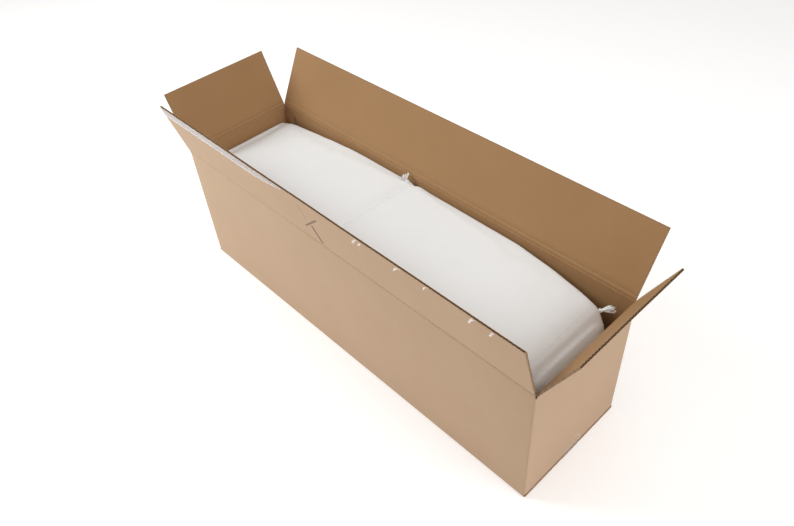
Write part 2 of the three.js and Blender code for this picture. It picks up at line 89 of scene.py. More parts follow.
class Field:
    """A node socket that takes part in Python sums."""

    def __init__(self, tree: "NodeTree", socket: bpy.types.NodeSocket) -> None:
        """Wraps one output socket.

        Args:
            tree: the tree that the socket belongs to.
            socket: the output socket.
        """
        self.tree = tree
        self.socket = socket

    def _sum(self, operation: str, first: Any, second: Any = 0.0) -> "Field":
        """Adds one Math node and returns its result."""
        return self.tree.node("ShaderNodeMath", {"operation": operation}, {0: first, 1: second})

    def __add__(self, other: Any) -> "Field":
        """self + other."""
        return self._sum("ADD", self, other)

    __radd__ = __add__

    def __sub__(self, other: Any) -> "Field":
        """self - other."""
        return self._sum("SUBTRACT", self, other)

    def __rsub__(self, other: Any) -> "Field":
        """other - self."""
        return self._sum("SUBTRACT", other, self)

    def __mul__(self, other: Any) -> "Field":
        """self * other."""
        return self._sum("MULTIPLY", self, other)

    __rmul__ = __mul__

    def __truediv__(self, other: Any) -> "Field":
        """self / other."""
        return self._sum("DIVIDE", self, other)

    def __pow__(self, other: Any) -> "Field":
        """self ** other."""
        return self._sum("POWER", self, other)

    def sine(self) -> "Field":
        """The sine of self."""
        return self._sum("SINE", self)

    def size(self) -> "Field":
        """self without its sign."""
        return self._sum("ABSOLUTE", self)

    def most(self, other: Any) -> "Field":
        """The larger of self and other."""
        return self._sum("MAXIMUM", self, other)

    def least(self, other: Any) -> "Field":
        """The smaller of self and other."""
        return self._sum("MINIMUM", self, other)

    def step(self, low: float, high: float) -> "Field":
        """A smooth step from 0 at low to 1 at high; it falls where low is above high.

        Args:
            low: the value where the step starts.
            high: the value where it ends.

        Returns:
            The stepped field.
        """
        rising = low < high
        return self.tree.node(
            "ShaderNodeMapRange",
            {"interpolation_type": "SMOOTHSTEP"},
            {
                "Value": self,
                "From Min": min(low, high),
                "From Max": max(low, high),
                "To Min": 0.0 if rising else 1.0,
                "To Max": 1.0 if rising else 0.0,
            },
        )


class NodeTree:
    """What shader trees and geometry trees have in common."""

    def __init__(self, tree: bpy.types.NodeTree) -> None:
        """Wraps a node tree.

        Args:
            tree: the tree to fill.
        """
        self.tree = tree

    def node(
        self,
        kind: str,
        settings: Optional[Mapping[str, Any]] = None,
        inputs: Optional[Mapping[Any, Any]] = None,
        output: Any = 0,
    ) -> Field:
        """Adds a node, sets it and links it.

        Args:
            kind: the node's type.
            settings: its properties, set first; "stops" are a colour ramp's.
            inputs: a value, a Field or a list of Fields for each named or numbered socket.
            output: the output socket to return.

        Returns:
            The chosen output.
        """
        made = self.tree.nodes.new(kind)
        for key, value in (settings or {}).items():
            if key == "stops":
                self._set_stops(made.color_ramp, value)
            else:
                setattr(made, key, value)
        for key, value in (inputs or {}).items():
            socket = made.inputs[key]
            if isinstance(value, Field):
                self.tree.links.new(value.socket, socket)
            elif isinstance(value, list):
                for one in value:
                    self.tree.links.new(one.socket, socket)
            else:
                socket.default_value = value
        return Field(self, made.outputs[output])

    @staticmethod
    def _set_stops(ramp: bpy.types.ColorRamp, stops: Sequence[tuple[float, Colour]]) -> None:
        """Gives a colour ramp its stops.

        Args:
            ramp: the ramp.
            stops: each stop's place and colour.
        """
        while len(ramp.elements) < len(stops):
            ramp.elements.new(0.5)
        for element, (position, colour) in zip(ramp.elements, stops):
            element.position = position
            element.color = colour

    def vector(self, x: Any = 0.0, y: Any = 0.0, z: Any = 0.0) -> Field:
        """A vector of three values or fields."""
        return self.node("ShaderNodeCombineXYZ", None, {0: x, 1: y, 2: z})

    def parts(self, vector: Field) -> tuple[Field, Field, Field]:
        """The three parts of a vector field."""
        split = self.node("ShaderNodeSeparateXYZ", None, {0: vector}).socket.node
        return tuple(Field(self, split.outputs[i]) for i in range(3))

    def cloud(self, place: Field, scale: float, detail: float = 2.0, rough: float = 0.5) -> Field:
        """Noise from 0 to 1.

        Args:
            place: where it is read.
            scale: its fineness.
            detail: octaves.
            rough: how strong the finer octaves are.

        Returns:
            The noise's value.
        """
        sizes = {"Vector": place, "Scale": scale, "Detail": detail, "Roughness": rough}
        return self.node("ShaderNodeTexNoise", None, sizes)


class Shader(NodeTree):
    """The node tree of one material."""

    def __init__(self, name: str) -> None:
        """Starts an empty material.

        Args:
            name: the material's name.
        """
        self.material = bpy.data.materials.new(name)
        self.material.use_nodes = True
        super().__init__(self.material.node_tree)
        self.tree.nodes.clear()

    def place(self, stretch: Sequence[float] = (1.0, 1.0, 1.0)) -> Field:
        """Object coordinates, stretched by a Mapping node."""
        seen = self.node("ShaderNodeTexCoord", output="Object")
        return self.node("ShaderNodeMapping", None, {"Vector": seen, "Scale": stretch})

    def mix(self, factor: Any, first: Any, second: Any, mode: str = "MIX") -> Field:
        """Blends two colours.

        Args:
            factor: the second colour's share.
            first: colour or Field.
            second: colour or Field.
            mode: the Mix node's blend type.

        Returns:
            The mixed colour.
        """
        settings = {"data_type": "RGBA", "blend_type": mode}
        return self.node("ShaderNodeMix", settings, {0: factor, 6: first, 7: second}, output=2)

    def mark(self, name: str) -> Field:
        """A number that the mesh carries at each point."""
        return self.node("ShaderNodeAttribute", {"attribute_name": name}, output="Fac")

    def bump(self, height: Field, depth: float, under: Optional[Field] = None) -> Field:
        """A bumped normal.

        Args:
            height: the relief, from 0 to 1.
            depth: its height in metres.
            under: a normal that it adds to.

        Returns:
            The normal.
        """
        sockets: dict[str, Any] = {"Height": height, "Distance": depth, "Strength": 1.0}
        if under is not None:
            sockets["Normal"] = under
        return self.node("ShaderNodeBump", None, sockets)

    def finish(self, sockets: Mapping[str, Any]) -> bpy.types.Material:
        """Ends the tree in a Principled shader.

        Args:
            sockets: the shader's values and links.

        Returns:
            The material.
        """
        surface = self.node("ShaderNodeBsdfPrincipled", None, sockets)
        end = self.tree.nodes.new("ShaderNodeOutputMaterial")
        self.tree.links.new(surface.socket, end.inputs["Surface"])
        return self.material


class Graph(NodeTree):
    """A Geometry Nodes tree with named inputs, run on a passing object."""

    def __init__(self, name: str, inputs: Mapping[str, str]) -> None:
        """Starts a tree.

        Args:
            name: the tree's name.
            inputs: the socket type of each named input.
        """
        super().__init__(bpy.data.node_groups.new(name, "GeometryNodeTree"))
        face = self.tree.interface
        face.new_socket("Geometry", in_out="OUTPUT", socket_type="NodeSocketGeometry")
        for label, kind in inputs.items():
            face.new_socket(label, in_out="INPUT", socket_type=kind)
        self.entry = self.tree.nodes.new("NodeGroupInput")

    def given(self, label: str) -> Field:
        """A named input of the tree."""
        return Field(self, self.entry.outputs[label])

    def close(self, geometry: Field, material: Field) -> None:
        """Ends the tree in Realize Instances and Set Material.

        Args:
            geometry: what the tree makes.
            material: its finish.
        """
        real = self.node("GeometryNodeRealizeInstances", None, {"Geometry": geometry})
        dressed = self.node("GeometryNodeSetMaterial", None, {"Geometry": real, "Material": material})
        end = self.tree.nodes.new("NodeGroupOutput")
        self.tree.links.new(dressed.socket, end.inputs[0])

    def run(self, values: Mapping[str, Any], host: Optional[bpy.types.ID] = None) -> bpy.types.Mesh:
        """Evaluates the tree once.

        Args:
            values: the value of each named input.
            host: the curve or mesh it works on, or None.

        Returns:
            The result as a plain mesh.
        """
        data = host or bpy.data.meshes.new("start")
        carrier = bpy.data.objects.new("carrier", data)
        bpy.context.scene.collection.objects.link(carrier)
        modifier = carrier.modifiers.new("build", "NODES")
        modifier.node_group = self.tree
        for item in self.tree.interface.items_tree:
            if item.in_out == "INPUT" and item.name in values:
                modifier[item.identifier] = values[item.name]
        carrier.update_tag()
        seen = carrier.evaluated_get(bpy.context.evaluated_depsgraph_get())
        made = bpy.data.meshes.new_from_object(seen)
        carrier.modifiers.remove(modifier)
        bpy.data.objects.remove(carrier)
        return made


def flutes_graph() -> Graph:
    """The tree that makes the wavy paper inside corrugated board.

    Returns:
        The tree: a closed wavy sheet, waves along X, in the XY plane, middle at the origin.
    """
    sizes = {n: "NodeSocketFloat" for n in ("Width", "Depth", "Pitch", "Height", "Sheet")}
    counts = {"Steps": "NodeSocketInt", "Rows": "NodeSocketInt"}
    graph = Graph("wavy_paper", {**sizes, **counts, "Paper": "NodeSocketMaterial"})
    width, pitch, sheet = graph.given("Width"), graph.given("Pitch"), graph.given("Sheet")
    grid = graph.node(
        "GeometryNodeMeshGrid",
        None,
        {
            "Size X": width,
            "Size Y": graph.given("Depth"),
            "Vertices X": width / pitch * graph.given("Steps") + 1.5,
            "Vertices Y": graph.given("Rows") + 1.0,
        },
    )
    x = graph.parts(graph.node("GeometryNodeInputPosition"))[0]
    wave = (x * math.tau / pitch).sine() * graph.given("Height") * 0.5 - sheet * 0.5
    low = graph.node(
        "GeometryNodeSetPosition", None, {"Geometry": grid, "Offset": graph.vector(z=wave)}
    )
    top = graph.node(
        "GeometryNodeExtrudeMesh",
        {"mode": "FACES"},
        {"Mesh": low, "Offset": graph.vector(z=1.0), "Offset Scale": sheet, "Individual": False},
    )
    under = graph.node("GeometryNodeFlipFaces", None, {"Mesh": low})
    both = graph.node("GeometryNodeJoinGeometry", None, {"Geometry": [top, under]})
    whole = graph.node("GeometryNodeMergeByDistance", None, {"Geometry": both, "Distance": 1e-6})
    graph.close(whole, graph.given("Paper"))
    return graph


def strand_graph() -> Graph:
    """The tree that makes a strand of bunched, twisted film along a curve.

    Returns:
        The tree: a closed crumpled tube along the host curve.
    """
    sizes = {
        n: "NodeSocketFloat" for n in ("Radius", "Flatness", "Crumple", "Twist", "Spacing", "Seed")
    }
    graph = Graph("film_strand", {"Path": "NodeSocketGeometry", **sizes, "Film": "NodeSocketMaterial"})
    path = graph.node(
        "GeometryNodeResampleCurve",
        {"mode": "LENGTH"},
        {"Curve": graph.given("Path"), "Length": graph.given("Spacing")},
    )
    along = graph.node("GeometryNodeSplineParameter", output="Length")
    turned = graph.node(
        "GeometryNodeSetCurveTilt", None, {"Curve": path, "Tilt": along * graph.given("Twist")}
    )
    ring = graph.node(
        "GeometryNodeCurvePrimitiveCircle",
        {"mode": "RADIUS"},
        {"Resolution": 10, "Radius": graph.given("Radius")},
    )
    y = graph.parts(graph.node("GeometryNodeInputPosition"))[1]
    flat = graph.node(
        "GeometryNodeSetPosition",
        None,
        {"Geometry": ring, "Offset": graph.vector(y=y * (graph.given("Flatness") - 1.0))},
    )
    tube = graph.node(
        "GeometryNodeCurveToMesh",
        None,
        {"Curve": turned, "Profile Curve": flat, "Fill Caps": True},
    )
    fold = graph.node(
        "ShaderNodeTexNoise",
        {"noise_dimensions": "4D"},
        {
            "Vector": graph.node("GeometryNodeInputPosition"),
            "W": graph.given("Seed"),
            "Scale": 320.0,
            "Detail": 2.0,
        },
    )
    push = graph.node(
        "ShaderNodeVectorMath",
        {"operation": "SCALE"},
        {0: graph.node("GeometryNodeInputNormal"), "Scale": (fold - 0.5) * graph.given("Crumple")},
    )
    rough = graph.node("GeometryNodeSetPosition", None, {"Geometry": tube, "Offset": push})
    graph.close(rough, graph.given("Film"))
    return graph


# ---- finishes ---------------------------------------------------------------


class Across(Enum):
    """The axis along which a board's flutes follow each other."""

    X = 0
    Y = 1


@dataclass(frozen=True)
class Scuff:
    """A dark rubbed stroke on a face, in the plane of X and Z."""

    start: Point2
    end: Point2
    width: float
    strength: float


@dataclass(frozen=True)
class KraftPaper:
    """Brown kraft liner, with fibres, mottling and a faint print-through of the flutes; drift paints a shade
    that darkens it towards +X.
    """

    name: str
    light: Colour
    dark: Colour
    across: Across = Across.X
    relief: float = 0.05 * MM
    scuffs: tuple[Scuff, ...] = ()
    # Strength of the painted shade that darkens the paper towards +X, standing in for light falloff.
    drift: float = 0.0

    def _stroke(self, shader: Shader, scuff: Scuff) -> Field:
        """How much of a scuff is at each point, from 0 to 1.

        Args:
            shader: the material being made.
            scuff: the stroke.

        Returns:
            Its strength.
        """
        x, _, z = shader.parts(shader.place())
        (ax, az), (bx, bz) = scuff.start, scuff.end
        dx, dz = bx - ax, bz - az
        length = math.hypot(dx, dz)
        along = ((x - ax) * (dx / length) + (z - az) * (dz / length)).most(0.0).least(length)
        off_x = x - ax - along * (dx / length)
        off_z = z - az - along * (dz / length)
        off = (off_x * off_x + off_z * off_z) ** 0.5
        grain = shader.cloud(shader.place((1.0, 1.0, 1.0)), 900.0, 2.0, 0.7)
        edge = scuff.width * 0.5
        return off.step(edge * 1.3, edge * 0.5) * grain.step(0.25, 0.42) * scuff.strength

    def material(self) -> bpy.types.Material:
        """Builds the material.

        Returns:
            The material.
        """
        shader = Shader(self.name)
        plain = shader.place()
        mottle = shader.cloud(plain, 9.0, 4.0, 0.6)
        stain = shader.cloud(plain, 2.3, 2.0, 0.5)
        fibre_size = (55.0, 55.0, 900.0) if self.across is Across.Y else (90.0, 90.0, 1300.0)
        fibre = shader.cloud(shader.place(fibre_size), 1.0, 3.0, 0.65)
        speck = shader.cloud(plain, 1500.0, 1.0, 0.4).step(0.66, 0.76)
        flute = shader.parts(plain)[self.across.value] * (math.tau / FLUTE_PITCH)
        band = flute.sine() * 0.5 + 0.5
        share = mottle * 0.45 + stain * 0.35 + fibre * 0.35 + band * 0.04 - 0.1
        # Painted shade: the tone darkens steadily towards +X, standing in for the key light's falloff along
        # the panel.
        share = share - (shader.parts(plain)[0] + 0.16) * self.drift
        paper = shader.mix(share, self.dark, self.light)
        deep = tuple(c * 0.3 for c in self.dark[:3]) + (1.0,)
        worn = shader.mark("wear") * shader.cloud(plain, 260.0, 3.0, 0.6).step(0.42, 0.6)
        paper = shader.mix(speck * 0.3, paper, deep)
        paper = shader.mix(worn * 0.35, paper, deep)
        # Painted shade: creases marked by score are darkened almost to black, broken up by noise.
        crack = shader.cloud(plain, 40.0, 2.0, 0.5).step(0.3, 0.5) * 0.4 + 0.6
        crease_shade = tuple(c * 0.12 for c in self.dark[:3]) + (1.0,)
        paper = shader.mix((shader.mark("score") * crack).most(0.0), paper, crease_shade)
        soot = (0.035, 0.028, 0.024, 1.0)
        for scuff in self.scuffs:
            paper = shader.mix(self._stroke(shader, scuff), paper, soot)
        lumps = shader.bump(fibre * 0.6 + mottle * 0.4, 0.06 * MM)
        normal = shader.bump(band, self.relief, lumps)
        rough = fibre * 0.14 + 0.74
        return shader.finish(
            {"Base Color": paper, "Roughness": rough, "Normal": normal, "Specular IOR Level": 0.32}
        )


@dataclass(frozen=True)
class ClearTape:
    """Clear packing tape: glossy, with milky streaks and tiny bubbles, and a painted highlight streak where
    the mesh marks one.
    """

    name: str
    tint: Colour
    body: float
    along: tuple[float, float, float]
    haze: float = 0.45

    def material(self) -> bpy.types.Material:
        """Builds the material.

        Returns:
            The material.
        """
        shader = Shader(self.name)
        streak = shader.cloud(shader.place(self.along), 1.0, 3.0, 0.6)
        bubble = shader.cloud(shader.place(), 170.0, 3.0, 0.55)
        # Painted highlight: a whiter, more opaque streak wherever the mesh's score mark is set.
        highlight_streak = shader.mark("score") * (streak * 0.5 + 0.5)
        haze = streak.step(0.55, 0.8) * self.haze + bubble.step(0.58, 0.78) * 0.1
        cover = (haze + self.body + highlight_streak * 0.6).least(0.94)
        white = (streak.step(0.52, 0.7) * self.haze * 2.0 + highlight_streak).least(1.0)
        colour = shader.mix(white, self.tint, (0.93, 0.92, 0.92, 1.0))
        normal = shader.bump(streak * 0.7 + bubble * 0.3, 0.18 * MM)
        return shader.finish(
            {
                "Base Color": colour,
                "Roughness": bubble * 0.2 + 0.14,
                "Alpha": cover,
                "Normal": normal,
                "Coat Weight": 0.4,
            }
        )


@dataclass(frozen=True)
class SpunFabric:
    """White spun fabric: a fine point-bonded grid over matted fibres."""

    name: str
    colour: Colour
    shade: Colour
    bond: float = 2.4 * MM
    relief: float = 0.12 * MM
    creases: float = 0.8 * MM

    def material(self) -> bpy.types.Material:
        """Builds the material.

        Returns:
            The material.
        """
        shader = Shader(self.name)
        plain = shader.place()
        x, y, z = shader.parts(plain)
        pitch = math.tau / self.bond
        dots = ((x + z) * pitch).sine() * ((y + z) * pitch).sine()
        fibre = shader.cloud(shader.place((1.0, 1.6, 1.0)), 900.0, 3.0, 0.7)
        cloudy = shader.cloud(plain, 14.0, 3.0, 0.55)
        fold = shader.cloud(shader.place((0.8, 1.5, 1.2)), 17.0, 3.0, 0.45)
        share = dots.step(0.2, 0.9) * 0.16 + fibre * 0.3 + cloudy * 0.35
        colour = shader.mix(share, self.colour, self.shade)
        creased = shader.bump(fold, self.creases)
        normal = shader.bump(dots * 0.5 + fibre, self.relief, creased)
        return shader.finish(
            {
                "Base Color": colour,
                "Roughness": fibre * 0.12 + 0.8,
                "Normal": normal,
                "Sheen Weight": 0.12,
                "Specular IOR Level": 0.25,
            }
        )


@dataclass(frozen=True)
class KnitFabric:
    """A knitted or woven cloth with rows of small loops."""

    name: str
    colour: Colour
    shade: Colour
    loop: float = 2.0 * MM

    def material(self) -> bpy.types.Material:
        """Builds the material.

        Returns:
            The material.
        """
        shader = Shader(self.name)
        x, y, z = shader.parts(shader.place())
        pitch = math.tau / self.loop
        rows = ((x * pitch).sine() * ((y + z) * pitch).sine()).size()
        fuzz = shader.cloud(shader.place(), 1200.0, 2.0, 0.7)
        colour = shader.mix(rows * 0.5 + fuzz * 0.4, self.shade, self.colour)
        normal = shader.bump(rows + fuzz * 0.3, 0.3 * MM)
        return shader.finish(
            {"Base Color": colour, "Roughness": fuzz * 0.1 + 0.85, "Normal": normal, "Sheen Weight": 0.2}
        )


@dataclass(frozen=True)
class OpenFoam:
    """Foam with open cells."""

    name: str
    colour: Colour
    shade: Colour
    cells: float

    def material(self) -> bpy.types.Material:
        """Builds the material.

        Returns:
            The material.
        """
        shader = Shader(self.name)
        cell = shader.node(
            "ShaderNodeTexVoronoi", None, {"Vector": shader.place(), "Scale": self.cells}
        )
        age = shader.cloud(shader.place(), 12.0, 3.0, 0.6)
        colour = shader.mix(cell * 0.6 + age * 0.4, self.shade, self.colour)
        return shader.finish(
            {
                "Base Color": colour,
                "Roughness": age * 0.05 + 0.92,
                "Normal": shader.bump(cell, 0.5 * MM),
                "Subsurface Weight": 0.08,
            }
        )


@dataclass(frozen=True)
class ThinFilm:
    """Bunched or stretched plastic film."""

    name: str
    colour: Colour
    cover: float
    wrinkle: float = 260.0
    transmission: float = 0.25
    patches: float = 0.3

    def material(self) -> bpy.types.Material:
        """Builds the material.

        Returns:
            The material.
        """
        shader = Shader(self.name)
        crinkle = shader.cloud(shader.place(), self.wrinkle, 4.0, 0.6)
        white = shader.mix(crinkle.step(0.4, 0.7), self.colour, (0.95, 0.95, 0.96, 1.0))
        return shader.finish(
            {
                "Base Color": white,
                "Roughness": crinkle * 0.3 + 0.12,
                "Alpha": (crinkle * self.patches + self.cover).least(1.0),
                "Normal": shader.bump(crinkle, 0.6 * MM),
                "Transmission Weight": self.transmission,
            }
        )


@dataclass(frozen=True)
class ZipMetal:
    """Cast zip metal with fine brushing."""

    name: str
    colour: Colour

    def material(self) -> bpy.types.Material:
        """Builds the material.

        Returns:
            The material.
        """
        shader = Shader(self.name)
        brush = shader.cloud(shader.place((200.0, 2000.0, 2000.0)), 1.0, 2.0, 0.5)
        spots = shader.cloud(shader.place(), 700.0, 2.0, 0.6)
        colour = shader.mix(spots * 0.4, self.colour, (0.35, 0.35, 0.36, 1.0))
        return shader.finish(
            {
                "Base Color": colour,
                "Metallic": 1.0,
                "Roughness": brush * 0.2 + 0.25,
                "Normal": shader.bump(brush, 0.03 * MM),
            }
        )


class Finishes:
    """Every material, made once."""

    def __init__(self) -> None:
        """Makes the materials."""
        outer_light = (0.600, 0.428, 0.292, 1.0)
        outer_dark = (0.500, 0.342, 0.222, 1.0)
        # Inner liner darker and warmer than the outer: partly the liner's own tone, partly painted shade for
        # the carton's dim inside.
        inner_light = (0.435, 0.255, 0.122, 1.0)
        inner_dark = (0.345, 0.192, 0.084, 1.0)
        scuffs = (
            Scuff((-0.029, 0.3865), (-0.030, 0.430), 2.6 * MM, 0.4),
            Scuff((-0.043, 0.361), (0.015, 0.413), 4.6 * MM, 0.6),
            Scuff((-0.017, 0.374), (-0.009, 0.330), 6.0 * MM, 0.9),
        )
        # The long outer faces get a painted shade that darkens them towards +X.
        self.outer_x = KraftPaper("kraft_outer_long", outer_light, outer_dark, drift=0.7).material()
        self.outer_y = KraftPaper("kraft_outer_end", outer_light, outer_dark, Across.Y).material()
        self.outer_front = KraftPaper(
            "kraft_outer_scuffed", outer_light, outer_dark, scuffs=scuffs, drift=0.7
        ).material()
        self.inner_x = KraftPaper("kraft_inner_long", inner_light, inner_dark).material()
        self.inner_y = KraftPaper("kraft_inner_end", inner_light, inner_dark, Across.Y).material()
        self.flute = KraftPaper(
            "kraft_flute", (0.38, 0.26, 0.16, 1.0), (0.29, 0.19, 0.11, 1.0), relief=0.01 * MM
        ).material()
        tint = (0.78, 0.71, 0.69, 1.0)
        self.lid_tape = ClearTape(
            "clear_tape_lid", (0.66, 0.60, 0.59, 1.0), 0.5, (7.0, 160.0, 160.0), 0.12
        ).material()
        self.base_tape = ClearTape("clear_tape_base", tint, 0.05, (14.0, 120.0, 25.0)).material()
        self.scrap_tape = ClearTape(
            "clear_tape_scrap", (0.9, 0.88, 0.88, 1.0), 0.55, (90.0,) * 3
        ).material()
        self.sack = SpunFabric(
            "sack_white", (0.815, 0.823, 0.827, 1.0), (0.755, 0.762, 0.765, 1.0)
        ).material()
        self.tie = ThinFilm("tie_white_film", (0.88, 0.88, 0.885, 1.0), 0.9, 260.0, 0.0).material()
        self.band = ThinFilm("tie_band_film", (0.84, 0.84, 0.84, 1.0), 0.02, 160.0, 0.0, 0.08).material()
        self.film = ThinFilm("vacuum_bag_film", (0.86, 0.88, 0.9, 1.0), 0.2, 60.0, 0.5).material()
        self.cover = KnitFabric("cover_knit", (0.86, 0.85, 0.82, 1.0), (0.7, 0.69, 0.66, 1.0)).material()
        self.border = KnitFabric(
            "cover_border_knit", (0.78, 0.78, 0.77, 1.0), (0.6, 0.6, 0.6, 1.0), 3.0 * MM
        ).material()
        self.sleeve = KnitFabric(
            "sleeve_knit", (0.88, 0.88, 0.86, 1.0), (0.74, 0.74, 0.72, 1.0), 1.2 * MM
        ).material()
        self.memory = OpenFoam(
            "memory_foam_cells", (0.88, 0.80, 0.52, 1.0), (0.76, 0.66, 0.38, 1.0), 900.0
        ).material()
        self.support = OpenFoam(
            "support_foam_cells", (0.83, 0.83, 0.80, 1.0), (0.68, 0.68, 0.66, 1.0), 600.0
        ).material()
        self.zip = KnitFabric(
            "zip_tape_weave", (0.75, 0.75, 0.74, 1.0), (0.5, 0.5, 0.5, 1.0), 0.8 * MM
        ).material()
        self.metal = ZipMetal("zip_cast_metal", (0.60, 0.61, 0.63, 1.0)).material()
        self.label = KnitFabric(
            "label_satin", (0.9, 0.9, 0.89, 1.0), (0.8, 0.8, 0.8, 1.0), 0.5 * MM
        ).material()


# ---- mesh helpers -----------------------------------------------------------


class Shape:
    """Points and faces gathered into one mesh, with a wear mark and a painted light mark at each point."""

    def __init__(self) -> None:
        """Starts empty."""
        self.points: list[Vector] = []
        self.faces: list[tuple[int, ...]] = []
        self.slots: list[int] = []
        self.wear: list[float] = []
        self.score: list[float] = []

    def add(
        self,
        points: Sequence[Vector],
        faces: Sequence[Sequence[int]],
        slot: int,
        wear: Optional[Sequence[float]] = None,
        score: Optional[Sequence[float]] = None,
    ) -> None:
        """Adds points and the faces between them.

        Args:
            points: the new points.
            faces: faces by the new points' numbers.
            slot: the material slot of the faces.
            wear: rubbing at each point, from 0 to 1.
            score: painted light at each point, from 0 to 1: painted crease shade on board, a painted
                highlight on tape.
        """
        first = len(self.points)
        self.points.extend(points)
        self.faces.extend(tuple(first + i for i in face) for face in faces)
        self.slots.extend([slot] * len(faces))
        self.wear.extend(wear or [0.0] * len(points))
        self.score.extend(score or [0.0] * len(points))

    def add_mesh(self, mesh: bpy.types.Mesh, place: Callable[[Vector], Vector], slot: int) -> None:
        """Adds a mesh, each point moved by a function, and removes the original.

        Args:
            mesh: the mesh.
            place: where each of its points goes.
            slot: the material slot of its faces.
        """
        self.add([place(v.co) for v in mesh.vertices], [p.vertices[:] for p in mesh.polygons], slot)
        bpy.data.meshes.remove(mesh)

    def add_shell(
        self,
        outer: Sequence[Point2],
        inner: Sequence[Point2],
        stations: Sequence[float],
        lay: Callable[[float, float, float], Vector],
        slot: int,
        wear: Optional[Sequence[float]] = None,
        score: Optional[Sequence[float]] = None,
        fade: Callable[[float], float] = lambda _: 1.0,
    ) -> None:
        """Adds a closed sheet: a flat profile carried through several stations.

        Args:
            outer: the profile's one face.
            inner: its other face, point for point.
            stations: places along the third direction.
            lay: turns a profile point and a station into a point in the frame.
            slot: the material slot.
            wear: rubbing at each profile point; stations' ends add their own.
            score: crease darkness at each profile point.
            fade: how strong the painted crease shade is at a station, from 0 to 1.
        """
        n, m = len(outer), len(stations)
        wear_row = list(wear or [0.0] * n)
        painted_light_row = list(score or [0.0] * n)
        points: list[Vector] = []
        worn: list[float] = []
        painted_marks: list[float] = []
        for k, station in enumerate(stations):
            rim = 1.0 if k in (0, m - 1) else 0.0
            for side in (outer, inner):
                points.extend(lay(p[0], p[1], station) for p in side)
                worn.extend(max(w, rim) for w in wear_row)
                painted_marks.extend(mark * fade(station) for mark in painted_light_row)
        faces: list[tuple[int, ...]] = []
        for k in range(m - 1):
            a, b = 2 * n * k, 2 * n * (k + 1)
            for i in range(n - 1):
                faces.append((a + i, a + i + 1, b + i + 1, b + i))
                faces.append((a + n + i + 1, a + n + i, b + n + i, b + n + i + 1))
            faces.append((a, b, b + n, a + n))
            faces.append((a + n - 1, a + 2 * n - 1, b + 2 * n - 1, b + n - 1))
        for a in (0, 2 * n * (m - 1)):
            for i in range(n - 1):
                face = (a + i, a + n + i, a + n + i + 1, a + i + 1)
                faces.append(face if a == 0 else tuple(reversed(face)))
        self.add(points, faces, slot, worn, painted_marks)

    def build(self, name: str, materials: Sequence[bpy.types.Material]) -> bpy.types.Object:
        """Makes the object, its faces outward and its sharp edges marked.

        Args:
            name: the piece's name.
            materials: its materials, by slot.

        Returns:
            The object, in the scene.
        """
        mesh = bpy.data.meshes.new(name)
        mesh.from_pydata([p[:] for p in self.points], [], self.faces)
        mesh.polygons.foreach_set("material_index", self.slots)
        for label, values in (("wear", self.wear), ("score", self.score)):
            mesh.attributes.new(label, "FLOAT", "POINT").data.foreach_set("value", values)
        tidy_mesh(mesh)
        for material in materials:
            mesh.materials.append(material)
        made = bpy.data.objects.new(name, mesh)
        bpy.context.scene.collection.objects.link(made)
        LOG.info("%s: %d faces", name, len(mesh.polygons))
        return made


def tidy_mesh(mesh: bpy.types.Mesh) -> None:
    """Turns faces outward, shades them smooth and marks the sharp edges.

    Args:
        mesh: the mesh to tidy.
    """
    work = bmesh.new()
    work.from_mesh(mesh)
    bmesh.ops.recalc_face_normals(work, faces=work.faces)
    for face in work.faces:
        face.smooth = True
    for edge in work.edges:
        edge.smooth = len(edge.link_faces) == 2 and edge.calc_face_angle(0.0) < SHARP
    work.to_mesh(mesh)
    work.free()


def spread(low: float, high: float, count: int) -> list[float]:
    """Evenly spaced numbers, both ends among them."""
    return [float(v) for v in np.linspace(low, high, count)]


def sheet_faces(n: int, m: int) -> list[tuple[int, ...]]:
    """The faces of a closed sheet whose upper points all come before its lower ones.

    Args:
        n: points in each row.
        m: rows in each side.

    Returns:
        Faces by point number.
    """
    faces: list[tuple[int, ...]] = []
    under = n * m
    for j in range(m - 1):
        for i in range(n - 1):
            a = j * n + i
            faces.append((a, a + 1, a + n + 1, a + n))
            faces.append((under + a, under + a + n, under + a + n + 1, under + a + 1))
    rim = [*range(n), *range(2 * n - 1, n * m, n)]
    rim += [*range(n * m - 2, n * (m - 1) - 1, -1), *range(n * (m - 2), 0, -n)]
    for a, b in zip(rim, rim[1:] + rim[:1]):
        faces.append((a, under + a, under + b, b))
    return faces


def inward(outer: Point2, inner: Point2, distance: float) -> Point2:
    """The point a distance from one face of a board towards the other."""
    dx, dy = inner[0] - outer[0], inner[1] - outer[1]
    share = distance / math.hypot(dx, dy)
    return outer[0] + dx * share, outer[1] + dy * share


# ---- carton -----------------------------------------------------------------


class Side(Enum):
    """The carton's four sides: outward direction and the direction across its flutes."""

    FRONT = ("front", (0.0, -1.0), (1.0, 0.0))
    BACK = ("back", (0.0, 1.0), (1.0, 0.0))
    LEFT = ("left", (-1.0, 0.0), (0.0, 1.0))
    RIGHT = ("right", (1.0, 0.0), (0.0, 1.0))

    @property
    def label(self) -> str:
        """The side's word."""
        return self.value[0]

    @property
    def is_long(self) -> bool:
        """Whether it is one of the two long sides."""
        return self.value[2][0] == 1.0

    @property
    def panel(self) -> str:
        """The CAD node of its wall."""
        return f"{self.label}_panel" if self.is_long else f"{self.label}_end_panel"

    def point(self, out: float, z: float, across: float) -> Vector:
        """A point from its distances outward, upward and across."""
        (ox, oy), (ax, ay) = self.value[1], self.value[2]
        return Vector((ox * out + ax * across, oy * out + ay * across, z))

    def reach(self, node: str) -> tuple[float, float]:
        """The nearest and farthest distance outward of a CAD node."""
        low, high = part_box(node)
        ends = sorted(self.value[1][0] * c.x + self.value[1][1] * c.y for c in (low, high))
        return ends[0], ends[1]

    def width(self, node: str) -> tuple[float, float]:
        """The lowest and highest place across of a CAD node."""
        low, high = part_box(node)
        return (low.x, high.x) if self.is_long else (low.y, high.y)


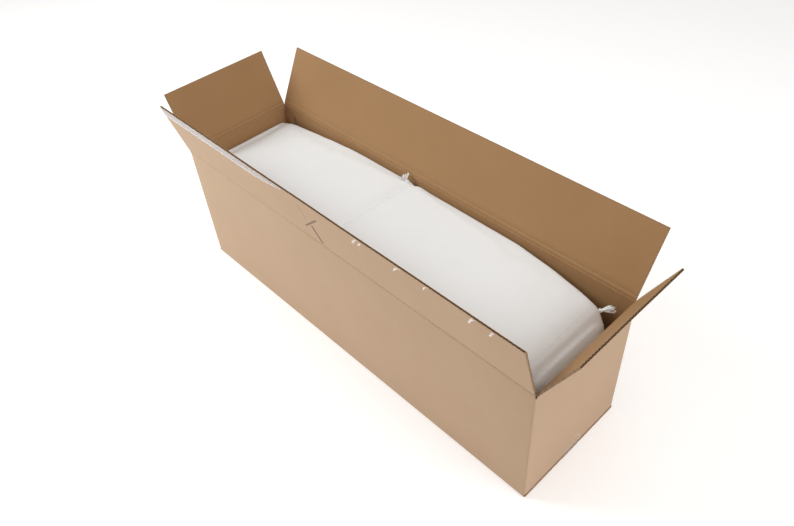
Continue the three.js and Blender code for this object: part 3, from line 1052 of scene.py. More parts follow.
@dataclass
class Board:
    """What walls and flaps of corrugated board have in common."""

    side: Side
    finishes: Finishes
    flutes: Graph
    thick: float = 4.0 * MM

    def papers(self) -> list[bpy.types.Material]:
        """Outer liner, inner liner and wavy paper.

        Returns:
            The three materials.
        """
        f = self.finishes
        if self.side.is_long:
            return [f.outer_x, f.inner_x, f.flute]
        return [f.outer_y, f.inner_y, f.flute]

    def wavy(self, width: float, depth: float) -> bpy.types.Mesh:
        """The wavy paper for a flat stretch of board.

        Args:
            width: its size across the flutes.
            depth: its size along them.

        Returns:
            The mesh.
        """
        values = {
            "Width": width,
            "Depth": depth,
            "Pitch": FLUTE_PITCH,
            "Height": self.thick - 2 * LINER - FLUTE_PAPER,
            "Sheet": FLUTE_PAPER,
            "Steps": 8,
            "Rows": 2,
            "Paper": self.finishes.flute,
        }
        return self.flutes.run(values)


@dataclass
class Wall(Board):
    """One upright wall, its upright folds shared with its neighbours at 45 degrees."""

    fold: float = 4.5 * MM
    cut_end: bool = False

    def lines(self, half: float) -> tuple[list[Point2], list[Point2]]:
        """The wall's outer and inner line, seen from above, as (out, across).

        Args:
            half: the carton's half size across this wall.

        Returns:
            The outer and the inner line.
        """
        inside, outside = self.side.reach(self.side.panel)
        centre = outside - self.fold
        nub = self.fold - self.thick
        outer: list[Point2] = []
        inner: list[Point2] = []
        for turn in spread(math.pi / 4, 0.0, 5):
            across = -half + self.fold - self.fold * math.sin(turn)
            outer.append((centre + self.fold * math.cos(turn), across))
            inner.append((centre + nub * math.cos(turn), -half + self.fold - nub * math.sin(turn)))
        flat = spread(-half + self.fold, half - self.fold, 26)[1:-1]
        outer.extend((outside, a) for a in flat)
        inner.extend((inside, a) for a in flat)
        for turn in spread(0.0, math.pi / 4, 5):
            outer.append((centre + self.fold * math.cos(turn), half - self.fold + self.fold * math.sin(turn)))
            inner.append((centre + nub * math.cos(turn), half - self.fold + nub * math.sin(turn)))
        return outer, inner

    def build(self, half: float, bottom: float) -> bpy.types.Object:
        """Builds the wall between its bottom fold and its lid crease.

        Args:
            half: the carton's half size across this wall.
            bottom: the height of its bottom fold.

        Returns:
            The wall.
        """
        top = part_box(self.side.panel)[1].z
        outer, inner = self.lines(half)
        if self.cut_end:
            low = -half
            outer = [(self.side.reach(self.side.panel)[1], low)] + outer[4:]
            inner = [(self.side.reach(self.side.panel)[0], low)] + inner[4:]
        rows = [bottom, bottom + 2 * MM, *spread(0.03, top - 0.012, 9), top - 2 * MM, top]
        shape = Shape()

        def lay(out: float, across: float, z: float) -> Vector:
            """Places a profile point.

            Args:
                out: distance outward.
                across: place across.
                z: height.

            Returns:
                The point in the frame.
            """
            return self.side.point(out, z, across)

        near = [inward(o, i, LINER) for o, i in zip(outer, inner)]
        far = [inward(i, o, LINER) for o, i in zip(outer, inner)]
        shape.add_shell(outer, near, rows, lay, 0)
        shape.add_shell(far, inner, rows, lay, 1)
        inside, outside = self.side.reach(self.side.panel)
        middle = (inside + outside) / 2
        sheet = self.wavy(2 * (half - self.fold) - MM, top - bottom - MM)
        centre = (top + bottom) / 2
        shape.add_mesh(sheet, lambda p: self.side.point(middle + p.z, centre + p.y, p.x), 2)
        made = shape.build(f"{self.side.panel}_board", self.papers())
        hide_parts(self.side.panel)
        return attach(made, "carton")


@dataclass
class BottomFlap(Board):
    """One bottom flap, with the fold that joins it to its wall."""

    fold: float = 5.0 * MM

    def build(self) -> tuple[bpy.types.Object, float]:
        """Builds the flap.

        Returns:
            The flap and the height where its wall starts.
        """
        node = f"bottom_{self.side.label}_flap"
        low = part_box(node)[0]
        near, _ = self.side.reach(node)
        outside = self.side.reach(self.side.panel)[1]
        centre = (outside - self.fold, low.z + self.fold)
        nub = self.fold - self.thick
        outer: list[Point2] = []
        inner: list[Point2] = []
        for turn in spread(0.0, math.pi / 2, 7):
            outer.append((centre[0] + self.fold * math.cos(turn), centre[1] - self.fold * math.sin(turn)))
            inner.append((centre[0] + nub * math.cos(turn), centre[1] - nub * math.sin(turn)))
        for out in spread(centre[0] - 2 * MM, near, 8):
            outer.append((out, low.z))
            inner.append((out, low.z + self.thick))
        shape = Shape()
        ends = self.side.width(node)

        def lay(out: float, z: float, across: float) -> Vector:
            """Places a profile point.

            Args:
                out: distance outward.
                z: height.
                across: place across.

            Returns:
                The point in the frame.
            """
            return self.side.point(out, z, across)

        stations = spread(ends[0], ends[1], 22)
        shape.add_shell(outer, [inward(o, i, LINER) for o, i in zip(outer, inner)], stations, lay, 0)
        shape.add_shell([inward(i, o, LINER) for o, i in zip(outer, inner)], inner, stations, lay, 1)
        thin = [inward(o, i, LINER) for o, i in zip(outer, inner)]
        under = [inward(i, o, LINER) for o, i in zip(outer, inner)]
        for a in (ends[0] + 0.2 * MM, ends[1] - 1.4 * MM):
            shape.add_shell(thin, under, [a, a + 1.2 * MM], lay, 0)
        depth = centre[0] - near
        sheet = self.wavy(ends[1] - ends[0] - 4 * MM, depth)
        middle = (ends[0] + ends[1]) / 2
        height = low.z + self.thick / 2
        shape.add_mesh(
            sheet, lambda p: self.side.point(near + depth / 2 + p.y, height + p.z, middle + p.x), 2
        )
        made = shape.build(f"{node}_board", self.papers())
        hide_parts(node)
        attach(made, "carton")
        return made, centre[1]


@dataclass
class LidFlap(Board):
    """One lid flap with its pressed crease, bending between the wall and the flap."""

    warp: float = 1.2 * MM
    seed: float = 0.0
    crush: float = 1.5 * MM
    second_crease: float = 9.0 * MM
    scuffed: bool = False
    joint: dict[str, Any] = field(default_factory=dict)

    def __post_init__(self) -> None:
        """Reads the crease from the frame."""
        name = f"{self.side.label}_flap_crease"
        self.joint = next(j for j in frame["joints"] if j["name"] == name)
        self.node = f"top_{self.side.label}_flap"
        lean = math.radians(-self.joint["range_deg"][0] - 90.0)
        self.up = (math.sin(lean), math.cos(lean))
        self.inside = (-math.cos(lean), math.sin(lean))
        position = Vector(self.joint["pos_m"])
        self.axis = (abs(position.x) + abs(position.y), position.z)
        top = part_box(self.node)[1].z
        self.depth = (top - self.axis[1] - self.thick * self.inside[1]) / self.up[1]

    def on(self, along: float, deep: float) -> Point2:
        """A point of the open flap, as (out, z): its distance along it and inward from its face.

        Args:
            along: distance from the crease axis.
            deep: distance inward from the outer face.

        Returns:
            The point.
        """
        return (
            self.axis[0] + self.up[0] * along + self.inside[0] * deep,
            self.axis[1] + self.up[1] * along + self.inside[1] * deep,
        )

    def lay(self, out: float, z: float, across: float) -> Vector:
        """Places a profile point, adding the board's slight warp.

        Args:
            out: distance outward.
            z: height.
            across: place across the flutes.

        Returns:
            The point in the frame.
        """
        along = max(0.0, (out - self.axis[0]) * self.up[0] + (z - self.axis[1]) * self.up[1])
        share = (along / self.depth) ** 1.5
        bend = -abs(noise.noise(Vector((across * 3.1, self.seed, share)))) * self.warp * share
        return self.side.point(out + self.inside[0] * bend, z + self.inside[1] * bend, across)

    def profile(self) -> tuple[list[Point2], list[Point2], list[float], list[float]]:
        """The flap's section from its wall to its free edge.

        Returns:
            The outer line, the inner line, the wear and the painted crease shade marks.
        """
        inside, outside = self.side.reach(self.side.panel)
        start = Vector(((inside + outside) / 2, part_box(self.side.panel)[1].z))
        end = Vector(self.on(5 * MM, self.thick / 2))
        knee = Vector((start.x, start.y + (end - start).length * 0.45))
        outer: list[Point2] = []
        inner: list[Point2] = []
        wear: list[float] = []
        score: list[float] = []
        for share in (0.0, 0.14, 0.28, 0.38, 0.43, 0.46, 0.54, 0.57, 0.62, 0.72, 0.86, 1.0):
            a, b = start.lerp(knee, share), knee.lerp(end, share)
            middle = a.lerp(b, share)
            along = (b - a).normalized()
            out = Vector((along.y, -along.x))
            pinch = math.exp(-(((share - 0.5) / 0.13) ** 2))
            half = (self.thick - self.crush * pinch) / 2
            outer.append(tuple(middle + out * half))
            inner.append(tuple(middle - out * half))
            wear.append(0.3)
            # Painted crease shade along the middle of the bend.
            score.append(1.0 if 0.45 < share < 0.55 else 0.0)
        second = self.second_crease
        rows = [second - 1.6 * MM, second, second + 1.6 * MM, *spread(0.02, self.depth - 0.006, 8)]
        for along in [*rows, self.depth - 1.5 * MM, self.depth]:
            dip = 0.45 * MM if along == second else 0.0
            outer.append(self.on(along, 0.0))
            inner.append(self.on(along, self.thick - dip))
            wear.append(1.0 if along == self.depth else 0.0)
            score.append(0.0)
        return outer, inner, wear, score

    def build(self) -> bpy.types.Object:
        """Builds the flap and bends it over its crease.

        Returns:
            The flap.
        """
        outer, inner, wear, score = self.profile()
        low, high = self.side.width(self.node)
        stations = [low, *spread(low + 4 * MM, high - 4 * MM, 34 if self.side.is_long else 14), high]
        creases = 12  # profile points up to the end of the pressed crease
        # Fainter painted crease shade on the inner face, and at the second crease.
        inner_painted_shade = [mark * 0.25 for mark in score]
        inner_painted_shade[creases + 1] = 0.28
        # Span across the long flaps over which the painted crease shade rises to full strength; the end flaps
        # have it at full strength.
        shaded_span = {Side.FRONT: (-0.24, 0.02), Side.BACK: (-0.15, 0.2)}.get(self.side, (-9.0, -8.0))

        def fade(across: float) -> float:
            """How strong the painted crease shade is at a place across."""
            return min(1.0, max(0.12, (across - shaded_span[0]) / (shaded_span[1] - shaded_span[0])))

        near = [inward(o, i, LINER) for o, i in zip(outer, inner)]
        far = [inward(i, o, LINER) for o, i in zip(outer, inner)]
        shape = Shape()
        shape.add_shell(outer, near, stations, self.lay, 0, wear, score, fade)
        shape.add_shell(far, inner, stations, self.lay, 1, wear, inner_painted_shade, fade)
        inset = [low + 0.2 * MM, *stations[1:-1], high - 0.2 * MM]
        shape.add_shell(near[:creases], far[:creases], inset, self.lay, 2)
        for a, b in ((low + 0.2 * MM, low + 1.4 * MM), (high - 1.4 * MM, high - 0.2 * MM)):
            shape.add_shell(near[creases:], far[creases:], [a, b], self.lay, 2)
        first = 5.5 * MM
        depth = self.depth - 0.25 * MM - first
        sheet = self.wavy(high - low - 3.2 * MM, depth)
        middle = (low + high) / 2

        def set_in(point: Vector) -> Vector:
            """Places a point of the wavy paper in the flap."""
            out, z = self.on(first + depth / 2 + point.y, self.thick / 2 + point.z)
            return self.lay(out, z, middle + point.x)

        shape.add_mesh(sheet, set_in, 2)
        papers = self.papers()
        if self.scuffed:
            papers[0] = self.finishes.outer_front
        made = shape.build(f"{self.node}_board", papers)
        start = self.side.point(outer[0][0] - self.thick / 2, outer[0][1], 0.0)
        end = self.side.point(*self.on(5 * MM, self.thick / 2), 0.0)
        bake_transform(made)
        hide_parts(self.node)
        return made


@dataclass
class GlueTab(Board):
    """The glued tab inside the back left corner, folded from the left end wall."""

    def build(self) -> bpy.types.Object:
        """Builds the tab.

        Returns:
            The tab.
        """
        low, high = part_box("glue_tab")
        nub = 0.6 * MM
        bend = self.thick + nub
        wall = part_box("left_end_panel")[0].x
        centre = (wall + bend, high.y - bend)
        slant = 14.0 * MM
        turns = spread(0.9, math.pi / 2, 5)
        outer = [(centre[0] - bend * math.cos(t), centre[1] + bend * math.sin(t)) for t in turns]
        inner = [(centre[0] - nub * math.cos(t), centre[1] + nub * math.sin(t)) for t in turns]
        for x in spread(centre[0] + 2 * MM, high.x, 6):
            outer.append((x, high.y))
            inner.append((x, high.y - self.thick))
        span = high.x - centre[0]

        def lay(x: float, y: float, share: float) -> Vector:
            """Places a profile point.

            Args:
                x: place along the carton.
                y: place across it.
                share: share of the tab's height.

            Returns:
                The point in the frame.
            """
            cut = slant * max(0.0, x - centre[0]) / span
            return Vector((x, y, low.z + cut + (high.z - low.z - 2 * cut) * share))

        shares = spread(0.0, 1.0, 12)
        shape = Shape()
        shape.add_shell(outer, [inward(o, i, LINER) for o, i in zip(outer, inner)], shares, lay, 0)
        shape.add_shell([inward(i, o, LINER) for o, i in zip(outer, inner)], inner, shares, lay, 1)
        sheet = self.wavy(span - MM, 1.0)
        middle = (centre[0] + high.x) / 2
        level = high.y - self.thick / 2
        shape.add_mesh(sheet, lambda p: lay(middle + p.x, level + p.z, p.y + 0.5), 2)
        made = shape.build("glue_tab_board", self.papers())
        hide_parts("glue_tab")
        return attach(made, "carton")


@dataclass
class Carton:
    """The carton: four walls, a glued tab, four bottom flaps and four lid flaps."""

    finishes: Finishes
    flutes: Graph

    def build(self) -> list[LidFlap]:
        """Builds every board of the carton.

        Returns:
            The lid flaps, front first.
        """
        half_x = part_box("front_panel")[1].x
        half_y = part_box("back_panel")[1].y
        for side in Side:
            bottom = BottomFlap(side, self.finishes, self.flutes).build()[1]
            half = half_x if side.is_long else half_y
            wall = Wall(side, self.finishes, self.flutes, cut_end=side is Side.BACK)
            wall.build(half, bottom)
        GlueTab(Side.BACK, self.finishes, self.flutes).build()
        lids = [
            LidFlap(side, self.finishes, self.flutes, seed=3.7 * i, scuffed=side is Side.FRONT)
            for i, side in enumerate(Side)
        ]
        for lid in lids:
            lid.build()
        return lids


# ---- tape -------------------------------------------------------------------


@dataclass
class Tape:
    """Clear tape: the cut strip on the front lid flap, its torn scraps, and the base strip's ends."""

    finishes: Finishes
    lid: LidFlap
    thick: float = 0.12 * MM
    lift: float = 0.15 * MM
    scrap_lift: float = 0.95 * MM
    scraps: tuple[tuple[float, float, float], ...] = (
        (0.148, 0.1405, 12.0),
        (0.158, 0.1385, 9.0),
        (0.253, 0.1400, 15.0),
        (0.3145, 0.1410, 10.0),
        (0.412, 0.1395, 14.0),
        (0.450, 0.1385, 11.0),
    )

    def sheet(
        self,
        name: str,
        columns: Sequence[float],
        rows: Sequence[float],
        lay: Callable[[float, float, float], Vector],
        material: bpy.types.Material,
        painted_highlight: Optional[Callable[[float], float]] = None,
    ) -> bpy.types.Object:
        """A thin closed sheet over a grid.

        Args:
            name: the piece's name.
            columns: places along it.
            rows: places across it.
            lay: turns (along, across, height off the board) into a point.
            material: its finish.
            painted_highlight: how strong the painted highlight is at a place across it, from 0 to 1.

        Returns:
            The sheet.
        """
        shape = Shape()
        self._grid(shape, columns, rows, lay)
        # The painted highlight is carried in the score mark.
        if painted_highlight:
            shape.score = [painted_highlight(r) for _ in range(2) for r in rows for _ in columns]
        return shape.build(name, [material])

    def _grid(
        self,
        shape: Shape,
        columns: Sequence[float],
        rows: Sequence[float],
        lay: Callable[[float, float, float], Vector],
    ) -> None:
        """Adds one closed sheet over a grid to a shape.

        Args:
            shape: what it is added to.
            columns: places along it.
            rows: places across it.
            lay: turns (along, across, height off the board) into a point.
        """
        n, m = len(columns), len(rows)
        points = [lay(c, r, h) for h in (self.thick, 0.0) for r in rows for c in columns]
        shape.add(points, sheet_faces(n, m), 0)

    def build_remnant(self) -> bpy.types.Object:
        """The cut tape along the front flap's free edge, its far end torn to a point.

        Returns:
            The strip.
        """
        low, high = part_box("top_tape_remnant")
        lid = self.lid
        bottom = lid.depth - 26.0 * MM
        first = low.x + 2.5 * MM
        length = high.x - first

        def lay(along: float, across: float, height: float) -> Vector:
            """Places a profile point.

            Args:
                along: distance along the strip.
                across: share of its width.
                height: height off the board.

            Returns:
                The point in the frame.
            """
            share = along / length
            taper = max(0.0, share - 0.72) / 0.28
            ragged = noise.noise(Vector((along * 40.0, 1.3, 0.0))) * 1.2 * MM * (0.2 + taper)
            edge = lid.depth - (0.3 - 0.3 * noise.noise(Vector((along * 35.0, 7.0, 0.0)))) * MM
            foot = bottom + taper**1.6 * 20.0 * MM + ragged
            place = foot + (edge - foot) * across
            wave = noise.noise(Vector((along * 45.0, across * 2.2, 4.0)))
            crest = math.sin((along * 8.0 + across * 2.6) * math.tau) * 0.5
            puff = max(0.0, wave + 0.25 * crest) * 0.3 * MM
            puff += 0.7 * MM * math.exp(-(((across - 0.1) / 0.07) ** 2))
            out, z = lid.on(place, -(self.lift + puff) - height)
            return lid.lay(out, z, first + along)

        columns = spread(0.0, length, 190)
        made = self.sheet(
            "top_tape_remnant_film",
            columns,
            spread(0.0, 1.0, 21),
            lay,
            self.finishes.lid_tape,
            # Painted highlight streak near the strip's lower edge.
            lambda across: math.exp(-(((across - 0.1) / 0.09) ** 2)),
        )
        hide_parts("top_tape_remnant")
        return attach(made, "front_flap")

    def build_scraps(self) -> bpy.types.Object:
        """Torn curls of tape left along the front flap's free edge.

        Returns:
            The scraps, as one piece.
        """
        lid = self.lid
        shape = Shape()
        for number, (x, along, size) in enumerate(self.scraps):
            picker = random.Random(number + 5)
            turn = picker.uniform(-0.6, 0.6)
            curl = picker.uniform(1.6, 2.6)
            length = size * MM

            def lay(u: float, v: float, height: float) -> Vector:
                """Places a point of a scrap.

                Args:
                    u: share of its length.
                    v: share of its width.
                    height: height off its own middle.

                Returns:
                    The point in the frame.
                """
                radius = length / curl
                angle = curl * u
                rise = radius * (1 - math.cos(angle)) + height
                run = radius * math.sin(angle)
                wide = (v - 0.5) * length * 0.55 * (1.0 - 0.5 * u + 0.2 * math.sin(9 * u + number))
                across = x + wide * math.cos(turn) + run * math.sin(turn)
                place = along + run * math.cos(turn) - wide * math.sin(turn)
                out, z = lid.on(place, -self.scrap_lift - rise)
                return lid.lay(out, z, across)

            self._grid(shape, spread(0.0, 1.0, 12), spread(0.0, 1.0, 6), lay)
        made = shape.build("top_tape_scraps", [self.finishes.scrap_tape])
        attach(made, "front_flap")
        face = lid.side.point(*lid.on(0.13, -2 * self.lift), 0.0)
        inside = (lid.side.point(*lid.on(0.13, 0.1), 0.0) - face).normalized()
        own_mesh(made)
        return made

    def build_end(self, side: Side) -> bpy.types.Object:
        """The end of the base tape, turned up an end wall, its edge torn.

        Args:
            side: the left or the right side.

        Returns:
            The strip.
        """
        node = f"bottom_tape_{side.label}_end"
        low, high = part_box(node)
        wall = side.reach(side.panel)[1]
        sign = 1.0 if side is Side.RIGHT else 5.0

        def lay(across: float, up: float, height: float) -> Vector:
            """Places a profile point.

            Args:
                across: place across the wall.
                up: share of the strip's height.
                height: height off the board.

            Returns:
                The point in the frame.
            """
            torn = noise.noise(Vector((across * 90.0, sign, 0.0))) * 5.0 * MM
            torn += noise.noise(Vector((across * 420.0, sign, 3.0))) * 1.6 * MM
            top = high.z - 2.0 * MM + torn
            z = low.z + (top - low.z) * up
            puff = max(0.0, noise.noise(Vector((across * 70.0, z * 50.0, sign)))) * 0.7 * MM
            peel = max(0.0, up - 0.8) * 6.0 * MM * max(0.0, noise.noise(Vector((across * 60.0, 9.0, sign))))
            return side.point(wall + self.lift + puff + peel + height, z, across)

        made = self.sheet(
            f"{node}_film", spread(low.y, high.y, 60), spread(0.0, 1.0, 24), lay, self.finishes.base_tape
        )
        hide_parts(node)
        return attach(made, "carton")

    def build(self) -> None:
        """Builds every visible piece of tape."""
        self.build_remnant()
        self.build_scraps()
        for side in (Side.LEFT, Side.RIGHT):
            self.build_end(side)


# ---- mattress ---------------------------------------------------------------


@dataclass
class Sack:
    """The white sack, tight over the rolled mattress, as a padded form swelled by simulation."""

    finishes: Finishes
    voxel: float = 6.5 * MM
    start_inside: float = 2.0 * MM
    cap: float = 2.8 * MM
    foot: float = 0.2 * MM
    room: float = 0.7 * MM
    wall: float = 0.1366
    pressure: float = 4.0
    frames: int = 20
    groove_depth: float = 7.5 * MM
    groove_half: float = 6.5 * MM
    rows: tuple[tuple[float, float, float, float, float], ...] = (
        # share of the length, inset, sag, lift, radius of the upper corners (mm)
        (0.0, 4.2, 38.0, 0.6, 12.0),
        (0.038, 4.2, 25.0, 0.0, 12.0),
        (0.1, 3.0, 18.0, 0.0, 12.0),
        (0.174, 0.5, 11.0, 0.0, 12.0),
        (0.249, 0.0, 4.0, 0.0, 12.0),
        (0.33, 0.0, 0.8, 0.0, 12.0),
        (0.42, 0.0, 0.2, 0.0, 12.0),
        (0.466, 0.0, 1.0, 0.0, 12.0),
        (0.52, 0.0, 0.2, 0.0, 12.0),
        (0.62, 0.0, 0.0, 0.0, 12.0),
        (0.758, 1.0, 0.5, 0.0, 13.0),
        (0.842, 6.0, 4.0, 0.0, 15.0),
        (0.907, 13.0, 10.0, 0.0, 16.0),
        (0.942, 17.0, 16.0, 0.0, 17.0),
        (0.964, 20.0, 23.0, 0.0, 18.0),
        (0.983, 29.0, 40.0, 4.0, 20.0),
        (0.994, 46.0, 62.0, 14.0, 22.0),
        (1.0, 70.0, 92.0, 34.0, 24.0),
    )

    def __post_init__(self) -> None:
        """Reads the sack's box."""
        low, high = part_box("sack")
        self.low, self.high = low, high
        self.waist = (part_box("waist_tie")[0].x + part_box("waist_tie")[1].x) / 2
        self.tail = (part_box("end_tie")[0].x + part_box("end_tie")[1].x) / 2

    def at(self, share: float) -> tuple[float, float, float, float]:
        """Half width, top, underside and corner radius at a share of the length.

        Args:
            share: share of the length from the left end.

        Returns:
            The four sizes.
        """
        table = np.array(self.rows)
        inset, sag, lift, radius = (
            float(np.interp(share, table[:, 0], table[:, i])) * MM for i in range(1, 5)
        )
        return self.high.y - inset, self.high.z - sag, self.low.z + lift, radius

    def ring(self, share: float, grow: float) -> list[Point2]:
        """The section at a share of the length, as (y, z), grown by a distance.

        Args:
            share: share of the length from the left end.
            grow: distance outward.

        Returns:
            The closed outline.
        """
        half, top, under, radius = self.at(share)
        half, top, under = half + grow, top + grow, under + (self.foot if grow < 0.0 else -grow)
        radius = min(radius + grow, half * 0.9, (top - under) * 0.45)
        corners = (
            (half - radius, top - radius, 0.0, radius),
            (radius - half, top - radius, math.pi / 2, radius),
            (12 * MM - half, under + 12 * MM, math.pi, 12 * MM),
            (half - 12 * MM, under + 12 * MM, 1.5 * math.pi, 12 * MM),
        )
        points: list[Point2] = []
        for y, z, first, r in corners:
            for turn in spread(0.0, math.pi / 2, 7):
                points.append((y + r * math.cos(first + turn), z + r * math.sin(first + turn)))
        return points

    def groove(self, y: float) -> tuple[float, float]:
        """Where the waist tie lies at a depth into the carton, and how deep it presses.

        Args:
            y: distance from the carton's middle, towards its back.

        Returns:
            The place along X and the groove's depth.
        """
        back = min(1.0, max(0.0, (y - self.low.y) / (self.high.y - self.low.y)))
        return self.waist + (back - 0.5) * 11 * MM, self.groove_depth * (0.1 + 0.9 * back**1.5)

    def core(self) -> bpy.types.Object:
        """The plain form that the simulation starts from, remeshed evenly.

        Returns:
            The form.
        """
        length = self.high.x - self.low.x
        shares = sorted({r[0] for r in self.rows} | set(spread(0.02, 0.98, 40)))
        rings = []
        for share in shares:
            x = self.low.x + self.start_inside + share * (length - 2 * self.start_inside)
            rings.append([(x, y, z) for y, z in self.ring(share, -self.start_inside)])
        n = len(rings[0])
        faces = [
            (k * n + i, k * n + (i + 1) % n, (k + 1) * n + (i + 1) % n, (k + 1) * n + i)
            for k in range(len(rings) - 1)
            for i in range(n)
        ]
        faces += [tuple(reversed(range(n))), tuple(range((len(rings) - 1) * n, len(rings) * n))]
        mesh = bpy.data.meshes.new("sack_filled")
        mesh.from_pydata([p for r in rings for p in r], [], faces)
        tidy_mesh(mesh)
        made = bpy.data.objects.new("sack_filled", mesh)
        bpy.context.scene.collection.objects.link(made)
        remesh = made.modifiers.new("even", "REMESH")
        remesh.mode = "VOXEL"
        remesh.voxel_size = self.voxel
        self.apply(made)
        return made

    @staticmethod
    def apply(made: bpy.types.Object) -> None:
        """Replaces an object's mesh by the one its modifiers make.

        Args:
            made: the object.
        """
        seen = made.evaluated_get(bpy.context.evaluated_depsgraph_get())
        result = bpy.data.meshes.new_from_object(seen)
        made.modifiers.clear()
        made.data = result

    def press(self, places: np.ndarray, share: float) -> np.ndarray:
        """Presses the waist groove into the top and sides.

        Args:
            places: the points.
            share: how much of the full depth.

        Returns:
            The pressed points.
        """
        back = np.clip((places[:, 1] - self.low.y) / (self.high.y - self.low.y), 0.0, 1.0)
        middle = self.waist + (back - 0.5) * 11 * MM
        depth = self.groove_depth * (0.1 + 0.9 * back**1.5) * share
        away = np.abs(places[:, 0] - middle)
        hollow = depth * (np.exp(-((away / self.groove_half) ** 2)) * 0.72 + np.exp(-away / (20 * MM)) * 0.28)
        height = (places[:, 2] - self.low.z) / (self.high.z - self.low.z)
        pressed = places.copy()
        pressed[:, 2] -= hollow * np.clip((height - 0.5) * 3.0, 0.0, 1.0)
        pressed[:, 1] -= np.sign(places[:, 1]) * hollow * 0.35 * (np.abs(places[:, 1]) > 0.1)
        return pressed

    def swell(self, made: bpy.types.Object) -> None:
        """Runs the cloth simulation and keeps its result, no point moved beyond the cap.

        Args:
            made: the sack.
        """
        scene = bpy.context.scene
        start = self.read(made)
        held = made.vertex_groups.new(name="held")
        for number, point in enumerate(start):
            middle = self.groove(point[1])[0]
            grip = math.exp(-(((point[0] - middle) / (8 * MM)) ** 2))
            if point[2] < self.low.z + 0.006:
                grip = 1.0
            if grip > 0.03:
                held.add([number], min(1.0, grip), "REPLACE")
        cloth = made.modifiers.new("Cloth", "CLOTH")
        rules = cloth.settings
        rules.quality = 4
        rules.mass = 0.15
        rules.tension_stiffness = 12.0
        rules.compression_stiffness = 12.0
        rules.shear_stiffness = 5.0
        rules.bending_stiffness = 0.6
        rules.air_damping = 2.0
        rules.use_pressure = True
        rules.uniform_pressure_force = self.pressure
        rules.vertex_group_mass = "held"
        rules.effector_weights.gravity = 0.0
        cloth.point_cache.frame_start = 1
        cloth.point_cache.frame_end = self.frames
        for number in range(1, self.frames + 1):
            scene.frame_set(number)
        self.apply(made)
        moved = self.read(made) - start
        length = np.linalg.norm(moved, axis=1)
        scale = np.minimum(1.0, self.cap / np.maximum(length, 1e-9))
        self.write(made, start + moved * scale[:, None])
        LOG.info("sack swelled by %.1f mm at most", float(length.max()) / MM)

    @staticmethod
    def read(made: bpy.types.Object) -> np.ndarray:
        """The object's points as an array."""
        flat = np.zeros(len(made.data.vertices) * 3)
        made.data.vertices.foreach_get("co", flat)
        return flat.reshape(-1, 3)

    @staticmethod
    def write(made: bpy.types.Object, places: np.ndarray) -> None:
        """Gives the object's points new places."""
        made.data.vertices.foreach_set("co", places.ravel())
        made.data.update()

    def wrinkle(self, made: bpy.types.Object) -> None:
        """Adds fine folds beside the ties and pleats round the tucked mouth.

        Args:
            made: the sack.
        """
        places = self.read(made)
        normals = np.array([v.normal for v in made.data.vertices])
        result = places.copy()
        for number, point in enumerate(places):
            x, y, z = point
            middle = self.groove(y)[0]
            back = (y - self.low.y) / (self.high.y - self.low.y)
            around = y + z * 1.3
            beat = noise.noise(Vector((around * 22.0, x * 6.0, 1.0)))
            waist = math.exp(-abs(x - middle) / (20 * MM)) * (0.25 + 0.75 * back)
            tail = math.exp(-abs(x - self.tail) / (26 * MM))
            shift = beat * (1.5 * waist + 0.5 * tail) * MM
            shift += noise.noise(Vector((x * 9.0, y * 13.0, z * 11.0))) * 0.7 * MM
            shift *= min(1.0, max(0.0, z - self.low.z) / 0.02)
            if x < self.low.x + 0.004:
                turn = math.atan2(z - 0.14, y)
                reach = math.hypot(z - 0.14, y)
                pleat = 0.5 + 0.5 * math.sin(turn * 22.0 + 3.0 * noise.noise(Vector((turn * 2.0, 0.0, 0.0))))
                depth = pleat * 1.5 * MM * min(1.0, reach / 0.03)
                shift = 0.8 * MM - depth * math.exp(-max(0.0, reach - 0.05) / 0.06)
            result[number] = point + normals[number] * shift
        self.write(made, result)

    def layers(self) -> list[Vector]:
        """Places over the outside of the layers inside the sack, no more than 12 mm apart.

        Returns:
            The places.
        """
        found: list[Vector] = []
        for name, node in frame["nodes"].items():
            if name != "vacuum_film" and not name.startswith("cover_"):
                continue
            mesh = node.data
            for edge in mesh.edges:
                a, b = (mesh.vertices[i].co for i in edge.vertices)
                count = max(1, math.ceil((b - a).length / (12 * MM)))
                found.extend(a.lerp(b, k / count) for k in range(count + 1))
        half, middle = self.high.y - 0.04, (self.low.z + self.high.z) / 2
        tall = (self.high.z - self.low.z) / 2 - 0.05
        ends = (self.low.x + 0.02, self.high.x - 0.05)
        return [
            p
            for p in found
            if abs(p.y) > half or abs(p.z - middle) > tall or not ends[0] < p.x < ends[1]
        ]

    def clear(self, made: bpy.types.Object) -> None:
        """Pushes the cloth out wherever a layer inside would come through it.

        Args:
            made: the sack.
        """
        packed = self.layers()
        reach = 16 * MM
        for _ in range(3):
            mesh = made.data
            skin = BVHTree.FromPolygons([v.co for v in mesh.vertices], [p.vertices[:] for p in mesh.polygons])
            near = KDTree(len(mesh.vertices))
            for vertex in mesh.vertices:
                near.insert(vertex.co, vertex.index)
            near.balance()
            shift = np.zeros(len(mesh.vertices))
            pushed = 0
            for point in packed:
                hit, normal, _, _ = skin.find_nearest(point)
                need = (point - hit).dot(normal) + self.room
                if need <= 0.0:
                    continue
                pushed += 1
                for _, number, away in near.find_range(hit, reach):
                    share = 1.0 - (away / reach) ** 2
                    shift[number] = max(shift[number], need * min(1.0, share * 1.6))
            normals = np.array([v.normal for v in mesh.vertices])
            self.write(made, self.read(made) + normals * shift[:, None])
            self.contain(made)
            LOG.info("sack cleared at %d places, %.1f mm at most", pushed, float(shift.max()) / MM)

